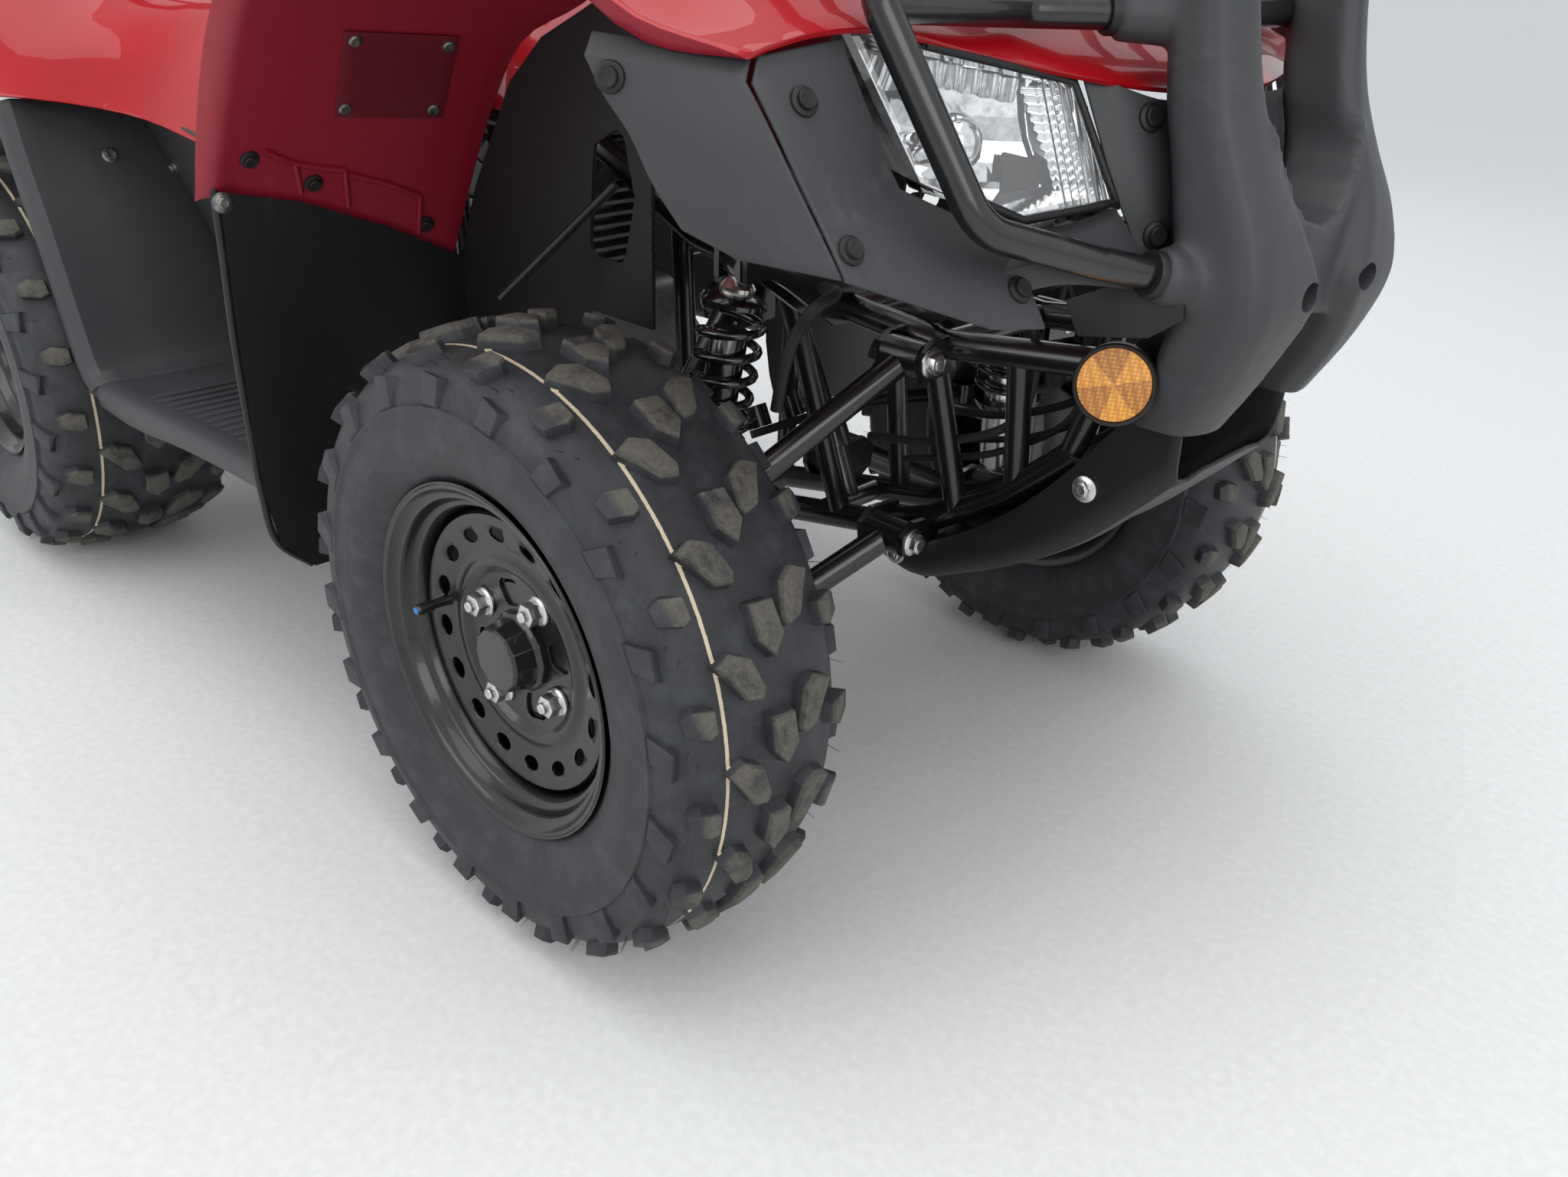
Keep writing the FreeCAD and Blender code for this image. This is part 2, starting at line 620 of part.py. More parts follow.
# Engine, exhaust and drive
def make_engine():
    case = prism([bx(431, -78, 262), bx(471, -78, 242.3), ax(-420, -78, 242.3), ax(-352, -78, 270), ax(-340, -78, 360),
                  ax(-380, -78, 452), bx(530, -78, 452), bx(441, -78, 420), bx(419, -78, 340)], Vector(0, 156, 0), 24)
    covers = [rod(ax(-440, -124, 330), ax(-440, 124, 330), 78), rod(bx(541, -110, 335), bx(541, 110, 335), 66)]
    save("engine_case", fused([case] + covers))
    x = cylinder_x
    barrel = rod(ax(x, 0, 452.3), ax(x, 0, 600), 46)
    fins = [prism([ax(x - 70, -68, z), ax(x + 70, -68, z), ax(x + 70, 68, z), ax(x - 70, 68, z)], Vector(0, 0, 4), 16)
            for z in range(466, 590, 13)]
    head = prism([ax(x - 60, -58, 596), ax(x + 60, -58, 596), ax(x + 60, 58, 596), ax(x - 60, 58, 596)],
                 Vector(0, 0, 44), 14)
    save("engine_cylinder", fused([barrel, head] + fins))

    y = muffler_y
    bend = tube([ax(x + 60.4, -20, 616), ax(-352, -20, 616), ax(-330, -110, 560), ax(-352, -166, 470), ax(-490, -174, 426),
                 bx(416, -184, 452), bx(341, y, 507.1), bx(281, y, 519.5)], 17, 40)
    save("exhaust_pipe", bend)
    start, tail = bx(281, y, 519.5), bx(-137, y, 606)
    along = tail - start
    along.normalize()
    can = [rod(start + along * 0.3, start + along * 36, 26), rod(start + along * 30, tail, 54),
           rod(tail - along * 4, tail + along * 34, 20)]
    save("muffler", fused(can).cut(rod(tail - along * 30, tail + along * 40, 16)))


def make_rear_suspension():
    z = axle_z
    bore = axle_shaft + 0.3
    x = pivot_x
    housing = [rod(bx(0, -160, z), bx(0, 205, z), 34), rod(bx(0, 20, z), bx(0, 112, z), 92),
               rod(bx(40, 56, z + 4), bx(x - 2, 56, pivot_z - 4), 22),
               tube([bx(10, -118, z), bx(90, -112, z + 12), bx(210, -66, pivot_z - 8), bx(x, -62, pivot_z)], 17, 60),
               rod(bx(x, -80, pivot_z), bx(x, 80, pivot_z), 24)]
    lug = [rear_prism([(102, 280), (156, 284), (140, 409), (116, 412)], y0, y1, 8)
           for y0, y1 in ((-68, -60.3), (-31.7, -24))]
    lug += [rod(bx(128, -96, 304), bx(128, 60, 304), 14)]
    hitch = [block(bx(-142, -40, 236), bx(-20, 40, 246)), block(bx(-60, -30, 236), bx(0, 30, 262))]
    body = fused(housing + lug + hitch)
    body = body.cut(rod(bx(0, -300, z), bx(0, 300, z), bore))
    body = body.cut(rod(bx(-118, 0, 200), bx(-118, 0, 300), hitch_hole))
    save("swingarm", body)
    save("rear_shock", shock(bx(130, -46, 404), bx(270, -46, 638), 31.0, 8))


# Body panels
def make_front_fender():
    """One moulded shell: a nose between the lamps, flares over the wheels and a wall behind each of them."""
    # columns: x, then y and z at the rolled edge's end, at the edge, at the shoulder, the crown, half way and the inside
    rows = (
        (-372, (-486, 600), (-478, 606), (-462, 608), (-400, 590), (-310, 556), (-238, 520)),
        (-338, (-487, 668), (-480, 664), (-462, 660), (-400, 650), (-310, 622), (-236, 590)),
        (-296, (-488, 736), (-481, 728), (-462, 722), (-400, 714), (-310, 694), (-234, 668)),
        (-240, (-488, 800), (-482, 790), (-462, 786), (-400, 782), (-310, 762), (-232, 738)),
        (-150, (-488, 852), (-483, 838), (-464, 834), (-400, 830), (-310, 806), (-230, 776)),
        (-62, (-488, 872), (-484, 856), (-464, 850), (-400, 852), (-310, 838), (-230, 824)),
        (35, (-488, 876), (-484, 860), (-462, 856), (-400, 862), (-310, 866), (-230, 868)),
        (120, (-480, 838), (-474, 824), (-454, 818), (-394, 834), (-310, 846), (-228, 852)),
        (180, (-448, 788), (-440, 776), (-424, 780), (-376, 804), (-306, 818), (-226, 826)),
    )
    middle = {-62: 872, 35: 880, 120: 862, 180: 836}
    back = {-372: 14, -338: 16, -296: 16, -240: 12, -150: 6}
    grid = []
    for x, *columns in rows:
        lean = back.get(x, 0)
        right = [ax(x - (lean if k == 0 else 0), y, z) for k, (y, z) in enumerate(columns)]
        right += [ax(x, -115, middle[x] - 1), ax(x, 0, middle[x])] if x in middle else [None, None]
        grid.append(across(right))
    # the nose's front edge over the lamps, from the outside to the middle
    edge = ((225, -412, 772), (229, -406, 770), (233, -392, 774), (238, -362, 780), (246, -326, 783), (276, -226, 766),
            (326, -112, 747), (344, 0, 742))
    grid.append(across([ax(*p) for p in edge]))
    save("front_fender", sheet(grid, fender_sheet))


def make_side_panels():
    """The dark panels ahead of each front wheel: one at the arch, and one that runs under the lamp."""
    # columns: top edge, chamfer under it, middle and lower edge, each as x from the front axle, y, z
    arch = ((146, -456, 777.4), (150, -466, 764), (172, -452, 722), (192, -436, 673))
    seam = ((226, -398, 768.4), (232, -408, 754), (268, -400, 700), (300, -391, 646))
    lamp = ((238, -330, 777.4), (246, -334, 766), (276, -312, 688), (345, -276, 601))
    toe = (None, None, (312, -232, 652), (352, -236, 600))
    grid = [[None if p is None else ax(*p) for p in row] for row in (arch, seam, lamp, toe)]
    save("side_panels", both([sheet(grid, panel_sheet, flip=True)]))


def lamp_outline(depth, grow):
    """The lamp's front outline: it is swept back to the outside and raked back to the top."""
    # columns: x from the front axle, y, z, all in one plane
    across, down = Vector(62, 166, -32), Vector(38, 17, -81)
    start = Vector(235, -322, 782.5)
    places = ((0, 0), (1, 0), (1, 1), (0.46, 1.31), (0.06, 1.09))
    corners = [tuple(start + across * u + down * v) for u, v in places]
    middle = [sum(c[i] for c in corners) / len(corners) for i in range(3)]
    return [ax(middle[0] + (x - middle[0]) * grow + depth, middle[1] + (y - middle[1]) * grow,
               middle[2] + (z - middle[2]) * grow) for x, y, z in corners]


def make_lamps():
    made_housings, made_lenses = [], []
    back = loft([closed(lamp_outline(-74, 0.66)), closed(lamp_outline(-12, 0.995))])
    bowl = loft([closed(lamp_outline(-66, 0.58)), closed(lamp_outline(-11, 0.90))])
    made_housings.append(back.cut(bowl))
    made_lenses.append(loft([closed(lamp_outline(-11.7, 0.995)), closed(lamp_outline(-2, 1.015)),
                             closed(lamp_outline(5, 0.86))]))
    save("headlights", both(made_housings))
    save("lamp_lenses", both(made_lenses))


def make_cowl():
    """The dark front between the lamps, with the ledge that runs under them."""
    # columns: x from the front axle, half width, z
    face = [[ax(x, -half, z), ax(x, half, z)]
            for x, half, z in ((334.2, 128, 736), (359.2, 112, 664), (370.8, 66, 634), (381.2, 60, 590))]
    ledge = [[ax(312, -214, 651), ax(328, -130, 656)], [ax(334.3, -212, 640.6), ax(360.8, -132, 630)]]
    save("front_cowl", [sheet(face, panel_sheet)] + both([sheet(ledge, panel_sheet)]))


def make_mud_guards():
    """Black guards: a flap behind each front wheel, and an inner wall beside the engine with a hole in it."""
    # columns: z, half width outside, half width inside
    flap = ((560, 477, 229), (480, 479, 229), (385, 479, 229), (320, 477, 238), (262, 468, 252), (228, 436, 288))
    shares = (0.0, 0.31, 0.67, 1.0)
    grid = [[ax(-365, y, z) for y, z in ((-476, 609), (-400, 593), (-310, 559), (-229, 519))]]
    grid += [[ax(-365, -outer - (inner - outer) * t, z - 85 * t * (z - 228) / 332) for t in shares]
             for z, outer, inner in flap]
    wall = side_prism([(-368, 515), (-330, 596), (-262, 700), (-210, 742), (-150, 768), (-62, 808), (-62, 508),
                       (-150, 508), (-200, 460), (-368, 390)], -231, -227)
    hole = side_prism([(-150, 560), (-100, 560), (-84, 620), (-100, 680), (-140, 660)], -240, -220, 12)
    save("mud_guards", both([fused([sheet(grid, 3.5, flip=True), wall.cut(hole)])]))


def make_footwells():
    """A tub on each side: a skirt, a ribbed floor, a wall beside the engine and a wall behind the foot."""
    side, inner, floor = footwell_side, footwell_inner, footwell_floor
    front, rear = ax(footwell_front, 0, 0).x, bx(405, 0, 0).x
    # columns: x at the floor, x at the inner wall's top, floor z, skirt depth
    stations = ((front, front + 36, floor + 12, 20), ((front + rear) / 2, (front + rear) / 2 - 24, floor + 6, 24),
                (rear, rear - 74, floor - 2, 30), (rear - 95, rear - 208, floor - 4, 24))
    tub = [[Vector(x, -side, z - depth), Vector(x, -side, z), Vector(x, -inner, z), Vector(high_x, -326, 603.6)]
           for x, high_x, z, depth in stations]
    # columns: x from the rear axle, z and inner half width of the wall behind the foot
    heel = [[bx(x, -side, z), bx(x, -inner_y, z)] for x, z, inner_y in
            ((311, floor - 28, inner), (307, floor - 6, inner), (283, 372, 274), (247, 481, 296), (195, 611, 322))]
    count = int((front - rear + 16) / rib_pitch)
    ribs = [block(Vector(x, -side + 30, floor - 3), Vector(x + 6, -inner - 34, floor + 14))
            for x in [rear - 44 + i * rib_pitch for i in range(count)]]
    save("footwells", both([fused([sheet(tub, panel_sheet, flip=True), sheet(heel, panel_sheet)] + ribs)]))


def make_rear_fender():
    """One moulded shell: flares over the rear wheels, a deck under the seat and side covers ahead of them."""
    bay = wheelbase - 701.0
    # columns: x from the rear axle, y and z from the rolled edge's end in to the seat deck, then z at y 60 and at 0
    rows = (
        (300 + bay, (-334, 604), (-332, 606), (-300, 650), (-262, 690), (-226, 724), (-152, 744), None, None),
        (300 + 0.6 * bay, (-335, 604), (-333, 607), (-300, 656), (-262, 696), (-226, 726), (-152, 742), 738, None),
        (300 + 0.28 * bay, (-342, 604), (-339, 609), (-306, 662), (-264, 706), (-226, 730), (-152, 742), 738, None),
        (300, (-372, 604), (-366, 611), (-330, 672), (-282, 724), (-226, 742), (-152, 742), 738, None),
        (205, (-476, 606), (-470, 616), (-434, 668), (-372, 722), (-290, 748), (-152, 744), 742, None),
        (150, (-500, 628), (-494, 646), (-464, 712), (-400, 760), (-300, 778), (-152, 748), 744, None),
        (60, (-506, 648), (-500, 666), (-474, 742), (-404, 792), (-300, 800), (-152, 752), 748, 750),
        (-80, (-506, 658), (-500, 676), (-474, 756), (-404, 802), (-300, 808), (-152, 756), 752, 754),
        (-200, (-500, 652), (-494, 670), (-468, 746), (-400, 788), (-300, 794), (-152, 758), 752, 754),
        (-280, (-474, 640), (-468, 658), (-440, 722), (-380, 752), (-290, 758), (-152, 756), 742, 744),
        (-312, (-440, 632), (-434, 646), (-410, 690), (-360, 712), (-280, 718), (-152, 722), 720, 722),
    )
    grid = []
    for x, *columns, deck, middle in rows:
        right = [bx(x, y, z) for y, z in columns]
        right += [None if deck is None else bx(x, -60, deck), None if middle is None else bx(x, 0, middle)]
        grid.append(across(right))
    tail = [bx(-318, -430, 600), bx(-318, -424, 612), bx(-322, -400, 640), bx(-322, -352, 650), bx(-322, -276, 650),
            bx(-322, -152, 640), bx(-322, -60, 640), bx(-322, 0, 640)]
    grid.append(across(tail))
    save("rear_fender", sheet(grid, fender_sheet, flip=True))


def make_seat_and_tank():
    # columns: x from the rear axle, half width low, half width high, low z, high z
    seat_rows = ((582, 112, 84, 740.1, 796), (491, 130, 100, 740.4, 798), (371, 148, 116, 741.2, 802),
                 (171, 152, 124, 746.5, 826), (-19, 146, 120, 754.1, 836), (-139, 132, 104, 755.5, 820))
    save("seat", loft([arched(bx(x, 0, 0).x, low_half, high_half, low_z, high_z, 22)
                       for x, low_half, high_half, low_z, high_z in seat_rows]))
    front = ax(-176, 0, 0).x
    length = front - bx(586, 0, 0).x
    # columns: share of the length from the front, half width low, half width high, low z, high z
    tank_rows = ((0.0, 196, 96, 742, 852), (0.336, 178, 104, 668, 858), (0.607, 148, 100, 654.5, 846),
                 (1.0, 144, 84, 658.5, 798))
    tank = loft([arched(front - share * length, low_half, high_half, low_z, high_z, 24)
                 for share, low_half, high_half, low_z, high_z in tank_rows])
    foot, head = column_axis()
    save("tank_cover", tank.cut(rod(foot, head, 12 + running_gap + 2)))


# Racks, bumper and small parts
def make_racks():
    z = front_rack_z
    r = rack_tube
    thin = slat_tube - 1
    hoop = tube([ax(-150, -290, z), ax(250, -290, z), ax(310, -230, z), ax(310, 230, z), ax(250, 290, z),
                 ax(-150, 290, z)], r, 50)
    bars = [rod(ax(-150, -300, z), ax(-150, 300, z), r - 0.5), rod(ax(80, -290, z), ax(80, 290, z), thin)]
    slats = [rod(ax(-150, -y, z), ax(310, -y, z), slat_tube) for y in (70, 150, 225)]
    legs = [rod(ax(x, -y, low), ax(x, -y, z), thin) for x, y, low in ((-20, 225, 851.4), (160, 225, 838.4))]
    save("front_rack", fused([hoop] + bars + both(slats + legs)))

    z = rear_rack_z
    front, end = bx(150, 0, 0).x, tail_x + r
    stop, rear_bar = end + 0.49 * (front - end), end + 0.255 * (front - end)
    hoop = tube([Vector(front, -290, z), Vector(end + 60, -290, z), Vector(end, -230, z), Vector(end, 230, z),
                 Vector(end + 60, 290, z), Vector(front, 290, z)], r, 50)
    bars = [rod(Vector(x, -290, z), Vector(x, 290, z), thin) for x in (stop, rear_bar)]
    stubs = [rod(Vector(front, -300, z), Vector(front, -170, z), r - 0.5),
             rod(Vector(front, -180, z), Vector(stop, -180, z), r - 1)]
    slats = [rod(Vector(stop, -y, z), Vector(end, -y, z), slat_tube) for y in (60, 120)]
    slats += [rod(Vector(front, -235, z), Vector(end + 3, -235, z), slat_tube)]
    legs = [rod(Vector(x, -235, low), Vector(x, -235, z), thin)
            for x, low in ((end + 0.808 * (front - end), 781.7), (rear_bar, 780.3))]
    save("rear_rack", fused([hoop] + bars + both(stubs + slats + legs)))


def make_bumper():
    r = bumper_tube
    plate = side_prism([(318, 528), (344, 520), (402, 584), (402, 620), (384, 616)], -98.3, -91.4)
    save("bumper_tube", fused(both([tube(crossbar_path(), r, 24), tube(bumper_path(), r, 40), plate])))

    # columns: z, rear x, front x, inner half width, outer half width
    levels = ((872, 334, 372, 76, 118), (800, 328, 386, 74, 121), (741, 331.6, 414, 69, 122),
              (700, 348, 436, 66, 124), (660, 361, 456, 52, 126), (612, 380, 464, 26, 126),
              (560, 384, 446, 52, 120), (505, 382, 410, 60, 104))
    wires = []
    for z, rear, front, inner, outer in levels:
        wires.append(Part.Wire(rounded_edges([ax(rear, -inner, z), ax(front, -inner, z), ax(front - 4, -outer + 8, z),
                                              ax(rear + 4, -outer, z)], 9, closed=True)))
    leg = loft(wires)
    half = 54
    yoke = loft([Part.Wire(rounded_edges([ax(rear, -half, z), ax(front, -half, z), ax(front, half, z),
                                          ax(rear, half, z)], 6, closed=True))
                 for z, rear, front in ((650, 380, 458), (612, 386, 462), (578, 386, 452))])
    cover = fused([leg, mirrored(leg), yoke])
    cover = cover.cut(block(ax(360, -98.6, 500), ax(404, 98.6, 634)))
    cover = cover.cut(block(ax(402, -92, 520), ax(420, 92, 628)))
    for path, bend in ((crossbar_path(), 24), (bumper_path(), 40)):
        groove = tube(path, r + 0.3, bend)
        cover = cover.cut(fused([groove, mirrored(groove)]))
    for y in (-50, 50):
        cover = cover.cut(rod(ax(420, y, 622), ax(480, y, 610), 9))
    save("bumper_cover", max(cover.Solids, key=lambda s: s.Volume))


def make_skid():
    """A moulded guard that wraps the frame's nose, from the chin back under the lower arms."""
    # columns: x, z at the wall's top, then half width and z at the wall's foot, then half width and z of the floor
    rows = ((95, 292, 66, 284, 54, 280), (122, 300, 70, 284, 56, 276), (190, 336, 72, 318, 58, 308),
            (258, 392, 73, 370, 60, 356), (307, 440, 74, 414, 62, 402), (345, 484, 76, 462, 66, 452),
            (396, 503, 82, 497, 74, 492))
    grid = []
    for x, top, half, low, floor_half, floor_z in rows:
        grid.append(across([ax(x, -half - 1, top), ax(x, -half, low), ax(x, -floor_half, floor_z),
                            ax(x, 0, floor_z - 1)]))
    save("skid_plate", sheet(grid, panel_sheet, flip=True))


def make_small_parts():
    out = Vector(0.42, -1, 0.16)
    out.normalize()
    face = ax(352, -134, 541)
    back = face - out * 9
    root = ax(340, -101, 546)
    puck = fused([rod(back, face, 30), rod(root, back + out * 1, 7)])
    save("reflectors", both([puck]))
    lamp = [closed([bx(x0, -y, 700), bx(x0, y, 700), bx(x1, y, 660), bx(x1, -y, 660)])
            for x0, x1, y in ((-315.4, -320.2, 60), (-330, -331.5, 56))]
    save("tail_lamp", loft(lamp))


def across(right):
    """A whole row from its right half, whose last point is on the middle line."""
    return right + [None if p is None else Vector(p.x, -p.y, p.z) for p in reversed(right[:-1])]


def ring_solid(profile, sides, turn=0.0):
    """A solid with flat facets about the Y axis, its outline given as (radius, y) from one end to the other."""
    angles = [math.radians(turn + 360.0 * k / sides) for k in range(sides)]
    return skin([[Vector(r * math.cos(a), y, r * math.sin(a)) for a in angles] for r, y in profile])


def steering_path():
    """The handlebar's right half, from the middle of its clamp out to the grip's end."""
    foot, head = column_axis()
    up = head - foot
    up.normalize()
    centre = head + up * 39.3
    half = grip_span / 2
    return [centre, centre + Vector(0, -86, 0), centre + Vector(-26, -190, 92), centre + Vector(-88, -half, 86)]


def bumper_path():
    return [ax(256, -332, 886), ax(260, -327, 799), ax(324, -288, 668), ax(354, -189, 640), ax(403, -70, 612), ax(403, 0, 612)]


def crossbar_path():
    return [ax(332, 0, 793), ax(328, -98, 793), ax(270, -187, 793), ax(259, -320, 797)]


def skin(rings):
    """A solid with flat faces through closed rings of points, capped at both ends."""
    count = len(rings[0])
    faces = [Part.Face(closed(list(rings[0]))), Part.Face(closed(list(rings[-1])))]
    for first, second in zip(rings, rings[1:]):
        for k in range(count):
            a, b, c, d = first[k], first[(k + 1) % count], second[(k + 1) % count], second[k]
            if abs((b - a).cross(c - a).dot(d - a)) < 1e-3:
                faces.append(Part.Face(closed([a, b, c, d])))
            else:
                faces += [Part.Face(closed([a, b, c])), Part.Face(closed([a, c, d]))]
    shell = Part.makeShell(faces)
    shell.sewShape()
    return outward(Part.makeSolid(shell))


def arched(x, low_half, high_half, low_z, high_z, corner):
    """A closed section across the vehicle, wider below than above, with rounded corners."""
    return Part.Wire(rounded_edges([Vector(x, -low_half, low_z), Vector(x, -high_half, high_z),
                                    Vector(x, high_half, high_z), Vector(x, low_half, low_z)], corner, closed=True))


make_wheels()
make_front_suspension()
make_steering()
make_frame()
make_engine()
make_rear_suspension()
make_front_fender()
make_side_panels()
make_lamps()
make_cowl()
make_mud_guards()
make_footwells()
make_rear_fender()
make_seat_and_tank()
make_racks()
make_bumper()
make_skid()
make_small_parts()
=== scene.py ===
import math
import bpy
from mathutils import Matrix, Vector


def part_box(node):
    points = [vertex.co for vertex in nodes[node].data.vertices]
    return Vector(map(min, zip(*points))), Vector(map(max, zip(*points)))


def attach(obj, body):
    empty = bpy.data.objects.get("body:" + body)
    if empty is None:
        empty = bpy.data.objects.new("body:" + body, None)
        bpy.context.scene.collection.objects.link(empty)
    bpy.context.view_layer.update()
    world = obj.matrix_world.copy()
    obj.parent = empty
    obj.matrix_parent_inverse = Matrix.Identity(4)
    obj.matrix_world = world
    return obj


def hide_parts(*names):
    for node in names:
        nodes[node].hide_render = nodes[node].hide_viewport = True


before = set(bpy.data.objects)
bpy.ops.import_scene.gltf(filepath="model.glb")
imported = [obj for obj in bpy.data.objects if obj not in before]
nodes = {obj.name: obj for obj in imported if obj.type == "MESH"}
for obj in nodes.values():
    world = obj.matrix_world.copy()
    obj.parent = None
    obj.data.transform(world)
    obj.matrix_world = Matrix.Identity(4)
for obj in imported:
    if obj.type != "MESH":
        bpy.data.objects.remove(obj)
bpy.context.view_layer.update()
print("frame loaded,", len(nodes), "nodes")


treadRadius = 0.266

# places that the frame gives, in metres
def middleOf(node):
    low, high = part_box(node)
    return (low + high) / 2


frontHub = middleOf("tyre_front_right")
rearHub = Vector((middleOf("rear_tyres").x, 0, frontHub.z))
rearTrack = 0.3905  # from the part's middle to the middle of a rear wheel
frontX = frontHub.x


def ahead(x, y, z):
    # a place in millimetres from the front axle line, as a point in metres
    return Vector((frontX + x / 1000, y / 1000, z / 1000))


def astern(x, y, z):
    # the same from the rear axle line
    return Vector((rearHub.x + x / 1000, y / 1000, z / 1000))


def allAhead(places):
    # a row of places from the front axle line, where None is a gap
    return [p and ahead(*p) for p in places]


def acrossBoth(right):
    # a row from the right edge to the middle, carried on to the left edge
    return right + [None if p is None else Vector((p.x, -p.y, p.z)) for p in reversed(right[:-1])]


# shader tools
class Flow:
    # a socket whose operators add Math nodes, so that a pattern reads as an expression
    def __init__(self, tree, socket):
        self.tree = tree
        self.socket = socket

    def math(self, operation, *values):
        node = self.tree.nodes.new("ShaderNodeMath")
        node.operation = operation
        for port, value in zip(node.inputs, values):
            if isinstance(value, Flow):
                self.tree.links.new(value.socket, port)
            else:
                port.default_value = value
        return Flow(self.tree, node.outputs[0])

    def unsigned(self):
        return self.math("ABSOLUTE", self)

    def sine(self):
        return self.math("SINE", self)

    def step(self, low, high):
        # 0 below low and 1 above high, with a soft slope between
        node = self.tree.nodes.new("ShaderNodeMapRange")
        node.interpolation_type = "SMOOTHSTEP"
        self.tree.links.new(self.socket, node.inputs["Value"])
        node.inputs["From Min"].default_value = low
        node.inputs["From Max"].default_value = high
        return Flow(self.tree, node.outputs[0])


for method, operation in (("add", "ADD"), ("sub", "SUBTRACT"), ("mul", "MULTIPLY"), ("truediv", "DIVIDE"),
                          ("pow", "POWER"), ("gt", "GREATER_THAN"), ("lt", "LESS_THAN")):
    setattr(Flow, "__" + method + "__", lambda a, b, operation=operation: a.math(operation, a, b))
Flow.__radd__ = Flow.__add__
Flow.__rmul__ = Flow.__mul__
Flow.__rsub__ = lambda a, b: a.math("SUBTRACT", b, a)


class Finish:
    # one material: its shader, Object coordinates about a centre, and the nodes that feed it
    def __init__(self, name, centre=(0, 0, 0), **constants):
        self.material = bpy.data.materials.new(name)
        self.material.use_nodes = True
        self.tree = self.material.node_tree
        self.shader = self.tree.nodes["Principled BSDF"]
        for port, value in constants.items():
            self.shader.inputs[port.replace("_", " ")].default_value = value
        spot = self.add("ShaderNodeTexCoord", out=3)
        self.spot = self.add("ShaderNodeMapping", {"vector_type": "TEXTURE"},
                             {"Vector": spot, "Location": centre})

    def add(self, kind, settings=None, values=None, out=0):
        node = self.tree.nodes.new(kind)
        for key, value in (settings or {}).items():
            setattr(node, key, value)
        for key, value in (values or {}).items():
            if isinstance(value, Flow):
                self.tree.links.new(value.socket, node.inputs[key])
            else:
                node.inputs[key].default_value = value
        return Flow(self.tree, node.outputs[out])

    def noise(self, size, detail=2.0, rough=0.5):
        return self.add("ShaderNodeTexNoise", None, {"Vector": self.spot, "Scale": 1 / size, "Detail": detail,
                                                     "Roughness": rough})

    def cells(self, size, feature="F1", scatter=1.0):
        return self.add("ShaderNodeTexVoronoi", {"feature": feature},
                        {"Vector": self.spot, "Scale": 1 / size, "Randomness": scatter})

    def axes(self):
        node = self.tree.nodes.new("ShaderNodeSeparateXYZ")
        self.tree.links.new(self.spot.socket, node.inputs[0])
        return [Flow(self.tree, out) for out in node.outputs]

    def mix(self, share, first, second):
        values = {0: share, 6: first, 7: second}
        return self.add("ShaderNodeMix", {"data_type": "RGBA"}, values, out=2)

    def feed(self, **links):
        for port, flow in links.items():
            self.tree.links.new(flow.socket, self.shader.inputs[port.replace("_", " ")])

    def bump(self, height, depth, strength=1.0):
        return self.add("ShaderNodeBump", None, {"Height": height, "Distance": depth, "Strength": strength})


def grained(name, colour, dusty, roughness, grain=0.0009, depth=0.00012):
    # moulded plastic with a fine pebble grain, faint handling marks and a little dust
    finish = Finish(name, Roughness=roughness, Specular_IOR_Level=0.42)
    cloud = finish.noise(0.16, 4, 0.6)
    fine = finish.noise(grain, 2, 0.6)
    marks = finish.noise(0.012, 5, 0.7)
    dust = cloud.step(0.5, 0.75) * marks.step(0.45, 0.7)
    finish.feed(Base_Color=finish.mix(dust * 0.5, colour, dusty),
                Roughness=roughness + (marks - 0.5) * 0.09 + dust * 0.1,
                Normal=finish.bump(fine, depth, strength=0.7))
    return finish.material


def glossPlastic(name, colour, deep):
    # glossy moulded plastic: the colour pools a little, with a faint ripple under the shine
    roughness = 0.34
    finish = Finish(name, Roughness=roughness, Coat_Roughness=0.02, Coat_IOR=1.42, Specular_IOR_Level=0.15)
    cloud = finish.noise(0.22, 3, 0.5)
    ripple = finish.noise(0.035, 2, 0.4)
    haze = finish.noise(0.006, 4, 0.7)
    coat = 0.85 - haze.step(0.55, 0.85) * 0.1
    finish.feed(Base_Color=finish.mix(cloud.step(0.3, 0.7), colour, deep),
                Roughness=roughness + (haze - 0.5) * 0.06, Coat_Weight=coat,
                Normal=finish.bump(ripple, depth=0.0006, strength=0.25))
    return finish.material


def paintedMetal(name, colour, roughness, coatWeight, wear=(0.12, 0.12, 0.125, 1)):
    # painted steel with a slight peel, rubbed and dusty in patches
    finish = Finish(name, Roughness=roughness, Coat_Roughness=0.06)
    peel = finish.noise(0.004, 2, 0.5)
    rub = finish.noise(0.05, 5, 0.65)
    dust = rub.step(0.6, 0.85)
    finish.feed(Base_Color=finish.mix(dust * 0.35, colour, wear), Roughness=roughness + dust * 0.25,
                Coat_Weight=coatWeight - dust * 0.3 * coatWeight,
                Normal=finish.bump(peel, depth=0.00015, strength=0.5))
    return finish.material


def castMetal(name, colour, stain, roughness):
    # sand-cast alloy with stains
    finish = Finish(name, Metallic=0.9, Roughness=roughness)
    sand = finish.noise(0.0016, 2, 0.6)
    stains = finish.noise(0.05, 5, 0.65)
    finish.feed(Base_Color=finish.mix(stains.step(0.45, 0.75), colour, stain),
                Roughness=roughness + (stains - 0.5) * 0.2,
                Normal=finish.bump(sand, depth=0.00025, strength=0.6))
    return finish.material


